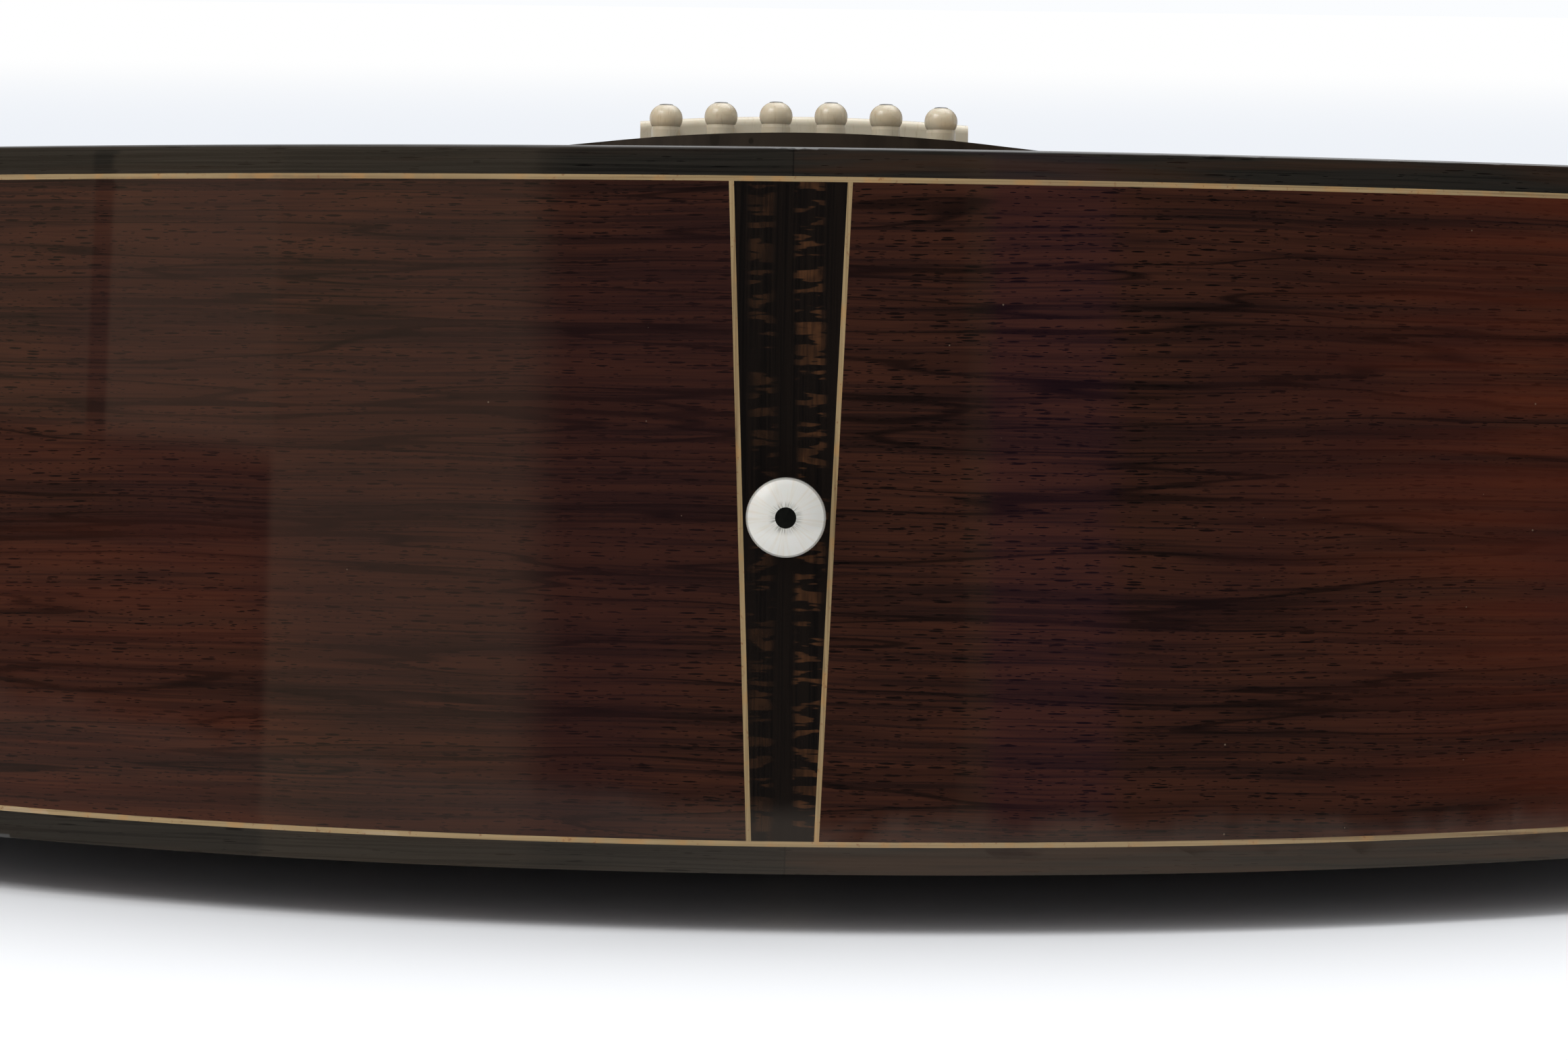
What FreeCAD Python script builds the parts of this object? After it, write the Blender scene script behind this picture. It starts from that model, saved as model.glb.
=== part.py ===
import FreeCAD, Part
import math
import os

# A dreadnought acoustic guitar lying on its back, modelled in millimetres.
# It is drawn in the frame of its body first: X to the treble side, Y from the tail to the head,
# Z up, with the outer face of the tail at Y = 0 and the upper face of the soundboard at Z = 0.
# At the end the whole guitar is tipped about X and moved, so that its back and the tip of its
# headstock lie on Z = 0 and the origin is at the middle of its box.

# Body outline and depth
body_length = 508.0
lower_bout_width = 397.0
waist_width = 276.0
upper_bout_width = 292.0
tail_depth = 124.0
heel_depth = 98.5
back_radius = 4572.0
outline_steps = 96

# Outline of the body. Each row is a share of the body's length, and a share of a half width.
lower_shares = ((0.0195, 0.353), (0.0680, 0.644), (0.1160, 0.817), (0.1750, 0.931), (0.2350, 0.985),
                (0.2900, 1.000), (0.3700, 0.976), (0.4500, 0.902))
waist_shares = ((0.5250, 1.153), (0.5900, 1.035), (0.6500, 1.000), (0.7200, 1.021))
upper_shares = ((0.8030, 1.000), (0.8650, 0.974), (0.9200, 0.884), (0.9590, 0.725), (0.9840, 0.480),
                (0.9970, 0.220))

# Plates and rim
top_thickness = 2.8
back_thickness = 2.6
side_thickness = 2.3
top_binding_height = 5.0
back_binding_height = 4.7
purfling_height = 0.92
face_purfling_width = 1.0
face_purfling_depth = 1.4
binding_round = 0.9
lining_width = 6.0
lining_height = 14.0
wedge_top_width = 19.4
wedge_bottom_width = 10.7
wedge_line_width = 0.87
center_strip_width = 6.0

# Blocks, braces and plates inside
neck_block_width = 76.0
neck_block_length = 48.0
tail_block_width = 76.0
tail_block_length = 24.0
brace_width = 7.9
x_brace_height = 14.0
x_brace_angle = 40.0
x_brace_setback = 34.0
tone_bar_height = 10.0
finger_brace_height = 7.0
brace_end_height = 3.0
brace_scoop_share = 3.0
upper_bar_height = 16.0
upper_bar_width = 15.8
upper_bar_offset = 38.0
back_brace_height = 13.0
seam_strip_width = 20.0
seam_strip_thickness = 2.5
bridge_plate_thickness = 2.5
bridge_plate_length = 40.0
bridge_plate_lead = 10.0
bridge_plate_margin = 3.0

# Places of the braces. A bar's row is a share of the body's length from the tail, a share of the
# lower bout's width from the centre line, and the angle of the bar in degrees.
tone_length_share = 0.52
finger_length_share = 0.19
tone_shares = ((0.265, -0.02, -28.0), (0.165, 0.05, -28.0))
finger_shares = ((0.405, 0.335, 12.0), (0.330, 0.350, 4.0))
back_bar_shares = (0.165, 0.385, 0.610, 0.815)

# Soundhole, rosette and pickguard
soundhole_diameter = 101.6
soundhole_setback = 148.0
rosette_gap = 3.2
rosette_depth = 1.0
rosette_line_width = 1.2
rosette_band_width = 6.4
rosette_line_gap = 2.2
pickguard_thickness = 1.6
pickguard_reach = 62.0
pickguard_length = 150.0
pickguard_gap = 4.0
pickguard_upper_angle = 38.0
pickguard_lower_angle = -64.0
pickguard_side_bulge = 4.0
pickguard_end_bulge = 8.0

# Corners of the pickguard, from the fingerboard round to the bridge. Each row is a share of the
# ring round the soundhole, a share of the guard's reach, and a share of its length.
pickguard_corner_shares = ((1.00, 0.62, 0.10), (1.00, 0.92, -0.42), (1.00, 0.72, -0.72),
                           (0.62, 0.00, -0.60))

# Bridge, saddle, bridge pins and end pin
bridge_width = 154.0
bridge_length = 27.0
bridge_belly = 8.0
bridge_height = 10.2
bridge_wing_height = 4.2
bridge_center_width = 96.0
belly_share = 0.52
wing_middle_share = 0.33
wing_sag_share = 0.30
saddle_length = 66.0
saddle_thickness = 3.2
saddle_depth = 5.5
saddle_slant = 3.4
string_compensation = 3.04
pin_spacing = 10.96
pin_to_saddle = 14.6
bridge_front_margin = 7.4
ramp_depth = 4.2
pin_head_diameter = 6.6
pin_head_height = 6.4
pin_collar_height = 1.5
pin_collar_share = 0.88
pin_throat_share = 1.4
pin_belly_share = 0.48
pin_waist_diameter = 5.6
pin_shank_diameter = 5.2
pin_shank_length = 24.0
pin_tip_diameter = 4.4
pin_dot_diameter = 2.8
pin_dot_depth = 0.8
pin_clearance = 0.05
pin_groove_width = 2.2
pin_groove_depth = 2.0
pin_relief_inset = 0.1
pin_relief_gap = 0.2
end_pin_head_diameter = 13.5
end_pin_dot_diameter = 3.6
end_pin_dot_depth = 1.2
end_pin_head_length = 14.0
end_pin_seat_diameter = 12.0
end_pin_waist_diameter = 8.6
end_pin_shank_diameter = 9.0
end_pin_shank_length = 26.0
end_pin_drop = 63.0
end_crown_drop = 1.6
end_rim_share = 0.60
end_lip_share = 0.14
end_rim_reach_share = 0.97
end_crown_reach_share = 0.95
end_dome_reach_share = 0.66
end_dome_drop_share = 0.34

# Neck, fingerboard and headstock
scale_length = 645.16
fret_count = 20
joint_fret = 14
neck_angle = 0.6
nut_width = 43.0
board_end_width = 57.4
board_thickness = 6.35
board_radius = 406.4
board_overhang = 4.0
neck_depth_nut = 14.5
neck_depth_joint = 17.0
heel_cap_thickness = 3.0
heel_cap_width = 30.0
heel_cap_length = 22.0
heel_joint_overlap = 6.0
heel_steps = 10
tenon_length = 18.0
tenon_width = 24.0
tenon_flare = 8.0
tenon_height = 72.0
fret_width = 2.2
fret_height = 1.1
fret_tang_width = 0.6
fret_tang_depth = 2.4
dot_diameter = 6.35
dot_depth = 1.2
single_dot_frets = (3, 5, 7, 9, 15, 17, 19)
double_dot_fret = 12
double_dot_share = 0.5
nut_thickness = 5.0
nut_height = 9.0
head_angle = 17.0
head_length = 172.0
head_thickness = 15.0
headplate_thickness = 2.0
head_base_width = 60.0
head_tip_width = 75.0
head_round = 9.0
head_shoulder_drop = 18.0
head_corner_share = 0.3
flare_share = 0.30
flare_bulge_share = 0.12
flare_middle_share = 0.42
truss_rod_width = 6.4
truss_rod_height = 6.4
truss_rod_drop = 7.0
truss_nut_diameter = 9.0
truss_nut_length = 14.0
truss_nut_key = 4.0
truss_nut_key_sides = 6
truss_nut_margin = 1.1
truss_clearance = 0.3

# Heel. Each row is a share of the heel's depth, a share of the way from the cap's width to the
# neck's width, and a length as a share of the cap's length.
heel_shares = ((0.06, 0.98, 4.90), (0.13, 0.92, 3.55), (0.21, 0.80, 2.60), (0.32, 0.62, 1.98),
               (0.48, 0.38, 1.50), (0.70, 0.16, 1.18), (1.00, 0.00, 1.00))

# Tuners
tuner_rows = 3
tuner_first = 34.0
tuner_pitch = 42.0
tuner_inset = 10.5
gear_teeth = 16
gear_module = 0.75
gear_thickness = 3.2
gear_tooth_width = 0.8
gear_tip_share = 0.8
gear_root_share = 1.1
gear_tip_width_share = 0.7
gear_root_width_share = 1.2
gear_hub_diameter = 8.6
worm_core_diameter = 4.4
worm_thread_diameter = 7.2
worm_thread_width = 0.7
worm_root_width_share = 0.65
worm_tip_width_share = 0.35
worm_length = 9.0
mesh_clearance = 0.4
post_diameter = 6.0
post_height = 17.0
post_round = 0.8
post_hole_diameter = 2.0
post_hole_share = 0.32
bushing_diameter = 9.5
bushing_length = 9.0
bushing_flange_diameter = 11.0
bushing_flange_height = 1.2
tuner_plate_thickness = 1.3
tuner_plate_width = 13.0
tuner_plate_length = 34.0
tuner_plate_round = 4.3
tuner_plate_lead_share = 0.33
tuner_ear_thickness = 2.0
tuner_ear_width = 8.0
tuner_shaft_diameter = 3.4
shaft_clearance = 0.06
button_reach = 22.0
button_length = 19.0
button_width = 15.0
button_thickness = 7.0
button_bite_share = 0.45
button_round_share = 0.36
screw_head_diameter = 4.6
screw_head_height = 1.4
screw_shank_diameter = 2.4
screw_length = 9.0
screw_slot_width = 0.8
screw_edge_share = 0.8

# Strings, from the lowest to the highest
string_diameters = (1.35, 1.07, 0.81, 0.61, 0.41, 0.30)
string_spread_nut = 35.5
string_spread_saddle = 54.0
saddle_crest = 14.5
nut_string_gap = 0.45
string_bend_radius = 2.2
string_crest_radius = 4.4
string_groove_inset = 0.75
string_drop = 2.4
ball_end_diameter = 3.9
ball_end_length = 3.4
winding_turns = 3
winding_sides = 6
winding_height = 9.0
winding_gap = 0.45
winding_clearance = 0.3
winding_ease_share = 0.96

# One overrun serves every cut
overrun = 20.0

# Places that follow from the sizes above
fret_plane = board_thickness + fret_height
nut_distance = scale_length * (1 - 2 ** (-joint_fret / 12))
nut_y = body_length + nut_distance
board_length = scale_length * (1 - 2 ** (-fret_count / 12)) + board_overhang
soundhole_y = body_length - soundhole_setback
saddle_y = nut_y - scale_length - string_compensation
pin_row_y = saddle_y - pin_to_saddle
worm_lead = math.pi * gear_module
gear_pitch_radius = gear_module * gear_teeth / 2
string_count = len(string_diameters)
upward = FreeCAD.Vector(0, 0, 1)
across = FreeCAD.Vector(1, 0, 0)
along = FreeCAD.Vector(0, 1, 0)


def point(x, y, z=0):
    return FreeCAD.Vector(x, y, z)


def box_between(low, high):
    size = high - low
    return Part.makeBox(size.x, size.y, size.z, low)


def moved(shape, offset):
    copy = shape.copy()
    copy.translate(offset)
    return copy


def turned(shape, center, axis, degrees):
    copy = shape.copy()
    copy.rotate(center, axis, degrees)
    return copy


def mirrored(shape):
    return shape.mirror(point(0, 0), across)


def solids_of(shapes):
    found = []
    for shape in shapes:
        found.extend(shape.Solids)
    return Part.makeCompound(found)


def polygon_prism(corners, direction):
    outline = Part.makePolygon(list(corners) + [corners[0]])
    return Part.Face(outline).extrude(direction)


# The body's outline is one closed curve through the points of the three tables
def outline_points():
    """Points round the whole body, from the tail along the treble side and back."""
    treble = []
    tables = ((lower_shares, lower_bout_width), (waist_shares, waist_width),
              (upper_shares, upper_bout_width))
    for shares, width in tables:
        for length_share, width_share in shares:
            treble.append(point(width_share * width / 2, length_share * body_length))
    bass = [point(-spot.x, spot.y) for spot in reversed(treble)]
    return [point(0, 0)] + treble + [point(0, body_length)] + bass


def closed_curve(points):
    curve = Part.BSplineCurve()
    curve.interpolate(Points=points, PeriodicFlag=True)
    return curve


outline_curve = closed_curve(outline_points())


def outline_face(inset):
    """The body's outline, drawn in from the outer face of the sides by the inset."""
    if inset == 0:
        return Part.Face(Part.Wire([outline_curve.toShape()]))
    points = []
    first = outline_curve.FirstParameter
    last = outline_curve.LastParameter
    for index in range(outline_steps):
        parameter = first + (last - first) * index / outline_steps
        tangent = outline_curve.tangent(parameter)[0]
        inward = point(-tangent.y, tangent.x)
        points.append(outline_curve.value(parameter) + inward * inset)
    return Part.Face(Part.Wire([closed_curve(points).toShape()]))


def outline_prism(inset, low, high):
    face = outline_face(inset)
    face.translate(upward * low)
    return face.extrude(upward * (high - low))


def rim_prism(outer_inset, inner_inset, low, high):
    outer = outline_prism(outer_inset, low, high)
    inner = outline_prism(inner_inset, low - overrun, high + overrun)
    return outer.cut(inner)


# The back is a shallow dome. Its ball touches the back's outer face at the tail and at the heel.
def dome_center():
    chord = math.hypot(body_length, tail_depth - heel_depth)
    rise = math.sqrt(back_radius ** 2 - (chord / 2) ** 2)
    slope = math.atan2(tail_depth - heel_depth, body_length)
    middle = point(0, body_length / 2, -(tail_depth + heel_depth) / 2)
    return middle + point(0, -math.sin(slope), math.cos(slope)) * rise


ball_center = dome_center()
deepest = -tail_depth - overrun


def ball(inset):
    """The inside of the dome, drawn in from the back's outer face. Its seam is at the top."""
    whole = Part.makeSphere(back_radius - inset)
    whole.rotate(point(0, 0), along, -90)
    whole.translate(ball_center)
    return whole


back_ball = ball(0)
back_inner_ball = ball(back_thickness)
back_binding_ball = ball(back_binding_height)
back_purfling_ball = ball(back_binding_height + purfling_height)
rim_top = -top_binding_height - purfling_height
inner_prism = outline_prism(side_thickness, deepest, -top_thickness)
center_half_width = lower_bout_width / 2 + overrun


def make_top_binding():
    ring = rim_prism(0, side_thickness, -top_binding_height, 0)
    outer_edges = []
    for edge in ring.Edges:
        at_top = abs(edge.BoundBox.ZMin) < face_purfling_depth and edge.BoundBox.ZLength < overrun / 2
        if at_top and edge.BoundBox.XLength > lower_bout_width - side_thickness:
            outer_edges.append(edge)
    return ring.makeFillet(binding_round, outer_edges)


def make_back_binding():
    ring = rim_prism(0, side_thickness, deepest, rim_top)
    return ring.common(back_ball).cut(back_binding_ball)


def face_line_ring(low, high):
    """The room of the pale line let into a face, just inside the binding."""
    return rim_prism(side_thickness, side_thickness + face_purfling_width, low, high)


def make_top_purfling():
    side_line = rim_prism(0, side_thickness, rim_top, -top_binding_height)
    return [side_line, face_line_ring(-face_purfling_depth, 0)]


def make_back_purfling():
    ring = rim_prism(0, side_thickness, deepest, rim_top)
    side_line = ring.common(back_binding_ball).cut(back_purfling_ball)
    face_line = face_line_ring(deepest, rim_top).common(back_ball).cut(ball(face_purfling_depth))
    return [side_line, face_line]


def wedge_prism(extra):
    """The tail wedge seen from the tail, widened by the extra on each side."""
    wedge_low = back_binding_height + purfling_height - tail_depth
    slope = (wedge_top_width - wedge_bottom_width) / 2 / (rim_top - wedge_low)
    top_half = wedge_top_width / 2 + extra - slope * rim_top
    bottom_half = wedge_bottom_width / 2 + extra - slope * (wedge_low + tail_depth)
    corners = (point(-top_half, -overrun, 0), point(top_half, -overrun, 0),
               point(bottom_half, -overrun, -tail_depth), point(-bottom_half, -overrun, -tail_depth))
    return polygon_prism(corners, along * (overrun + tail_block_length))


def make_sides():
    """The two bent sides, the tail wedge between them and the wedge's two edge lines."""
    ring = rim_prism(0, side_thickness, deepest, rim_top).common(back_purfling_ball)
    wedge = wedge_prism(0)
    lined = wedge_prism(wedge_line_width)
    bore = end_pin_bore()
    sides = ring.cut(Part.makeCompound([lined, bore, neck_tenon()]))
    treble_space = box_between(point(0, -overrun, deepest),
                               point(center_half_width, body_length + overrun))
    treble = sides.common(treble_space)
    bass = sides.cut(treble_space)
    return bass, treble, ring.common(wedge).cut(bore), ring.common(lined).cut(wedge)


def make_soundboard():
    plate = outline_prism(side_thickness, -top_thickness, 0)
    cuts = [face_line_ring(-face_purfling_depth, 0), soundhole(), rosette()]
    cuts.extend(pin_bores())
    return plate.cut(Part.makeCompound(solids_of(cuts).Solids))


def soundhole():
    return Part.makeCylinder(soundhole_diameter / 2, overrun, point(0, soundhole_y, -overrun / 2))


def rosette():
    """Two thin rings and a wide one between them, let into the soundboard."""
    radius = soundhole_diameter / 2 + rosette_gap
    rings = []
    for width in (rosette_line_width, rosette_band_width, rosette_line_width):
        base = point(0, soundhole_y, -rosette_depth)
        outer = Part.makeCylinder(radius + width, rosette_depth, base)
        rings.append(outer.cut(Part.makeCylinder(radius, rosette_depth, base)))
        radius += width + rosette_line_gap
    return solids_of(rings)


def make_back():
    """Two plates with the centre strip between them. Both follow the dome."""
    plate = outline_prism(side_thickness, deepest, rim_top).common(back_ball).cut(back_inner_ball)
    plate = plate.cut(face_line_ring(deepest, rim_top).cut(ball(face_purfling_depth)))
    strip_space = box_between(point(-center_strip_width / 2, -overrun, deepest),
                              point(center_strip_width / 2, body_length + overrun))
    return plate.cut(strip_space), plate.common(strip_space)


def neck_block_box():
    half = neck_block_width / 2
    start = body_length - side_thickness - neck_block_length
    return box_between(point(-half, start, deepest), point(half, body_length, -top_thickness))


def tail_block_box():
    half = tail_block_width / 2
    end = side_thickness + tail_block_length
    return box_between(point(-half, 0, deepest), point(half, end, -top_thickness))


def make_linings():
    """A strip of lining glued along the top of the sides and another along the back."""
    outer = side_thickness
    inner = side_thickness + lining_width
    blocks = Part.makeCompound([neck_block_box(), tail_block_box()])
    upper = rim_prism(outer, inner, -top_thickness - lining_height, -top_thickness).cut(blocks)
    lower = rim_prism(outer, inner, deepest, rim_top - lining_height)
    lower = lower.common(back_inner_ball).cut(ball(back_thickness + lining_height)).cut(blocks)
    return [upper, lower]


def truss_channel():
    """Room for the truss rod inside the neck, from the tenon to the first fret."""
    half = truss_rod_width / 2
    low = -truss_rod_drop - truss_rod_height
    start = body_length - tenon_length
    return box_between(point(-half, start, low), point(half, fret_y(1), -truss_rod_drop))


def truss_nut_room():
    half = truss_nut_diameter / 2 + truss_nut_margin
    start = body_length - side_thickness - neck_block_length - overrun
    low = -truss_rod_drop - truss_rod_height / 2 - half
    high = point(half, body_length - tenon_length, -top_thickness)
    return box_between(point(-half, start, low), high)


def make_neck_block():
    block = neck_block_box().common(inner_prism).common(back_inner_ball)
    return block.cut(Part.makeCompound([neck_tenon(), truss_nut_room()]))


def make_tail_block():
    block = tail_block_box().common(inner_prism).common(back_inner_ball)
    return block.cut(end_pin_bore())


def neck_tenon():
    """The dovetail at the end of the heel, wider inside the block than at the sides."""
    narrow = tenon_width / 2
    wide = narrow + tenon_flare / 2
    ends = ((narrow, body_length + side_thickness), (narrow, body_length - side_thickness),
            (wide, body_length - tenon_length))
    corners = [point(x, y, -tenon_height) for x, y in ends]
    corners += [point(-x, y, -tenon_height) for x, y in reversed(ends)]
    return polygon_prism(corners, upward * (tenon_height + rim_top))


# Braces and plates glued to the inside of the soundboard and the back
def tapered_bar(length, width, height, end_height):
    """A bar along X on the underside of Z = 0, its ends scooped to a lower height."""
    half = length / 2
    scoop = height * brace_scoop_share
    profile = ((-half, 0), (half, 0), (half, -end_height), (half - scoop, -height),
               (-half + scoop, -height), (-half, -end_height))
    corners = [point(x, -width / 2, z) for x, z in profile]
    return polygon_prism(corners, along * width)


def under_top(bar, x, y, degrees):
    placed = turned(bar, point(0, 0), upward, degrees)
    return moved(placed, point(x, y, -top_thickness))


def brace_room():
    """The space under the soundboard that the braces may fill, inside the linings."""
    return outline_prism(side_thickness + lining_width, deepest, -top_thickness)


def x_center_y():
    return soundhole_y - soundhole_diameter / 2 - x_brace_setback


def make_x_braces(room):
    """Two crossed braces, halved into each other where they meet."""
    bars = []
    for degrees in (90 - x_brace_angle, 90 + x_brace_angle):
        bar = tapered_bar(lower_bout_width + upper_bout_width, brace_width, x_brace_height,
                          x_brace_height)
        bars.append(under_top(bar, 0, x_center_y(), degrees).common(room))
    halving = -top_thickness - x_brace_height / 2
    lower_half = box_between(point(-center_half_width, -overrun, deepest),
                             point(center_half_width, body_length, halving))
    crossing = bars[0].common(bars[1])
    first = bars[0].cut(crossing.common(lower_half))
    second = bars[1].cut(crossing.cut(lower_half))
    return [first, second]


def solid_volume(solid):
    return solid.Volume


def make_soundboard_braces(room, x_braces):
    """Two tone bars, four finger braces and one bar above the soundhole."""
    tone_length = lower_bout_width * tone_length_share
    finger_length = lower_bout_width * finger_length_share
    tone = tapered_bar(tone_length, brace_width, tone_bar_height, brace_end_height)
    finger = tapered_bar(finger_length, brace_width, finger_brace_height, brace_end_height)
    upper = tapered_bar(upper_bout_width, upper_bar_width, upper_bar_height, brace_end_height)
    bars = [under_top(upper, 0, soundhole_y + soundhole_diameter / 2 + upper_bar_offset, 0)]
    for length_share, side_share, degrees in tone_shares:
        bars.append(under_top(tone, side_share * lower_bout_width, length_share * body_length, degrees))
    for side in (-1, 1):
        for length_share, side_share, degrees in finger_shares:
            x = side * side_share * lower_bout_width
            bars.append(under_top(finger, x, length_share * body_length, side * degrees))
    others = solids_of(x_braces + [neck_block_box(), make_bridge_plate(x_braces)])
    trimmed = [bar.common(room).cut(others) for bar in bars]
    return [max(bar.Solids, key=solid_volume) for bar in trimmed]


def make_bridge_plate(x_braces):
    """A thin plate under the bridge, cut to fit between the legs of the crossed braces."""
    middle = pin_row_y + bridge_plate_lead
    bottom = -top_thickness - bridge_plate_thickness
    low = point(-bridge_width / 2, middle - bridge_plate_length / 2, bottom)
    high = point(bridge_width / 2, middle + bridge_plate_length / 2, -top_thickness)
    plate = box_between(low, high).cut(solids_of(x_braces))
    center = [solid for solid in plate.Solids if abs(solid.CenterOfMass.x) < bridge_plate_margin]
    return center[0].cut(Part.makeCompound(pin_bores()))


def make_back_braces(room):
    """Four bars across the back, and the seam strip between them."""
    inside = room.common(back_inner_ball)
    bars = []
    for length_share in back_bar_shares:
        y = length_share * body_length
        bar = box_between(point(-center_half_width, y - brace_width / 2, deepest),
                          point(center_half_width, y + brace_width / 2, -top_thickness))
        bars.append(bar.common(inside).cut(ball(back_thickness + back_brace_height)))
    half = seam_strip_width / 2
    strip = box_between(point(-half, 0, deepest), point(half, body_length, -top_thickness))
    strip = strip.common(inside).cut(ball(back_thickness + seam_strip_thickness))
    blocks = [neck_block_box(), tail_block_box()]
    strip = strip.cut(Part.makeCompound(bars + blocks))
    return bars + [strip]


# Bridge, saddle and pins
def pin_places():
    """Places of the bridge pins, from the lowest string to the highest."""
    first = -pin_spacing * (string_count - 1) / 2
    return [point(first + pin_spacing * index, pin_row_y) for index in range(string_count)]


def crown_drop(x):
    """How far a crown of the fingerboard's radius lies below its top line."""
    return board_radius - math.sqrt(board_radius ** 2 - x ** 2)


def pin_seat_height(place):
    """The highest point of the crowned bridge under the pin's collar."""
    nearest = max(0, abs(place.x) - pin_head_diameter / 2 * pin_collar_share)
    return bridge_height - crown_drop(nearest)


def pin_bores():
    """The tapered holes for the pins, through the bridge, the soundboard and the plate."""
    radius = pin_shank_diameter / 2 + pin_clearance
    length = overrun * 2 + bridge_height
    return [Part.makeCylinder(radius, length, place - upward * overrun) for place in pin_places()]


def string_ramps():
    """The slots that lead the strings from the pin holes towards the saddle."""
    floor = bridge_height - ramp_depth
    top = bridge_height + overrun
    reach = pin_to_saddle - saddle_thickness
    profile = ((0, floor), (pin_shank_diameter / 2, floor), (reach, bridge_height), (reach, top), (0, top))
    ramps = []
    for place in pin_places():
        side = place.x - pin_groove_width / 2
        corners = [point(side, place.y + y, z) for y, z in profile]
        ramps.append(polygon_prism(corners, across * pin_groove_width))
    return ramps


def set_saddle(shape):
    """Turn a shape drawn at the origin to the saddle's slant, and move it to the saddle's place."""
    slant = math.degrees(math.atan2(saddle_slant, saddle_length))
    return moved(turned(shape, point(0, 0), upward, slant), point(0, saddle_y))


def saddle_blank():
    half = saddle_length / 2
    thick = saddle_thickness / 2
    base = bridge_height - saddle_depth
    return box_between(point(-half, -thick, base), point(half, thick, saddle_crest))


def crown_cylinder(height):
    """A long cylinder along Y whose top line lies at the height."""
    length = nut_y + nut_thickness + overrun * 2
    return Part.makeCylinder(board_radius, length, point(0, -overrun, height - board_radius), along)


def arc(start, middle, end):
    return Part.Arc(start, middle, end).toShape()


def spun(edges):
    """A solid of revolution about Z from a chain of edges that starts and ends on the axis."""
    first = edges[0].valueAt(edges[0].FirstParameter)
    last = edges[-1].valueAt(edges[-1].LastParameter)
    wire = Part.Wire(Part.__sortEdges__(edges + [Part.makeLine(last, first)]))
    return Part.Face(wire).revolve(point(0, 0), upward, 360)


def chain(corners):
    return [Part.makeLine(first, second) for first, second in zip(corners, corners[1:])]


def bridge_plan():
    """The bridge seen from above: a straight front edge and a belly towards the tail."""
    front = saddle_y + bridge_front_margin
    rear = front - bridge_length
    half = bridge_width / 2
    belly_half = half * belly_share
    edges = chain([point(-belly_half, rear), point(-half, rear), point(-half, front),
                   point(half, front), point(half, rear), point(belly_half, rear)])
    edges.append(arc(point(belly_half, rear), point(0, rear - bridge_belly), point(-belly_half, rear)))
    face = Part.Face(Part.Wire(Part.__sortEdges__(edges)))
    return face.extrude(upward * bridge_height)


def make_bridge():
    """The bridge: crowned in the middle, with scooped wings, holes for the pins and the saddle."""
    half = bridge_width / 2
    center_half = bridge_center_width / 2
    shoulder = bridge_height - crown_drop(center_half)
    wing_end = point(half, 0, bridge_wing_height)
    wing_start = point(center_half, 0, shoulder)
    wing_middle = point(center_half + (half - center_half) * wing_middle_share, 0,
                        bridge_wing_height + (shoulder - bridge_wing_height) * wing_sag_share)
    wing = arc(wing_end, wing_middle, wing_start)
    crest = arc(wing_start, point(0, 0, bridge_height), point(-center_half, 0, shoulder))
    foot = chain([point(-half, 0, bridge_wing_height), point(-half, 0), point(half, 0), wing_end])
    section = Part.Face(Part.Wire(Part.__sortEdges__([wing, crest, mirrored(wing)] + foot)))
    body = bridge_plan().common(section.extrude(along * body_length))
    cuts = pin_bores() + string_ramps() + [set_saddle(saddle_blank())]
    return body.cut(Part.makeCompound(cuts))


def make_saddle():
    """The saddle, crowned along its length like the fingerboard and rounded over its crest."""
    half = saddle_thickness / 2
    shoulder = saddle_crest - half
    edges = chain([point(0, half, shoulder), point(0, half), point(0, -half), point(0, -half, shoulder)])
    edges.append(arc(point(0, -half, shoulder), point(0, 0, saddle_crest), point(0, half, shoulder)))
    face = Part.Face(Part.Wire(edges))
    reach = math.degrees(saddle_length / board_radius)
    axis_place = point(0, 0, saddle_crest - board_radius)
    face.rotate(axis_place, along, -reach)
    return set_saddle(face.revolve(axis_place, along, 2 * reach).common(saddle_blank()))


def make_bridge_pin(index):
    """A bridge pin, drawn on its own axis with its seat at Z = 0, then set in its hole."""
    head = pin_head_diameter / 2
    collar = head * pin_collar_share
    throat = pin_collar_height * pin_throat_share
    neck = pin_waist_diameter / 2
    shank = pin_shank_diameter / 2
    dot = pin_dot_diameter / 2
    top = pin_head_height
    edges = chain([point(0, 0, -pin_shank_length), point(pin_tip_diameter / 2, 0, -pin_shank_length),
                   point(shank, 0, -bridge_height - top_thickness), point(shank, 0, 0),
                   point(collar, 0, 0), point(collar, 0, pin_collar_height), point(neck, 0, throat)])
    belly = point(head, 0, pin_collar_height + (top - pin_collar_height) * pin_belly_share)
    edges.append(arc(point(neck, 0, throat), belly, point(dot, 0, top)))
    edges.extend(chain([point(dot, 0, top), point(0, 0, top)]))
    pin = spun(edges)
    groove_floor = shank - pin_groove_depth
    half = pin_groove_width / 2
    groove = box_between(point(-half, groove_floor, -pin_shank_length - overrun),
                         point(half, shank + overrun, 0))
    below_plate = -bridge_height - top_thickness - bridge_plate_thickness
    relief = box_between(point(-overrun, -pin_relief_inset, -pin_shank_length - overrun),
                         point(overrun, overrun, below_plate + pin_relief_gap))
    dot_solid = Part.makeCylinder(dot, pin_dot_depth, point(0, 0, top - pin_dot_depth))
    pin = pin.cut(groove).cut(relief).cut(dot_solid)
    place = pin_places()[index]
    seat = point(place.x, place.y, pin_seat_height(place))
    return moved(solids_of([pin, dot_solid]), seat)


def end_pin_bore():
    base = point(0, -overrun, -end_pin_drop)
    return Part.makeCylinder(end_pin_shank_diameter / 2, overrun + end_pin_shank_length, base, along)


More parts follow.
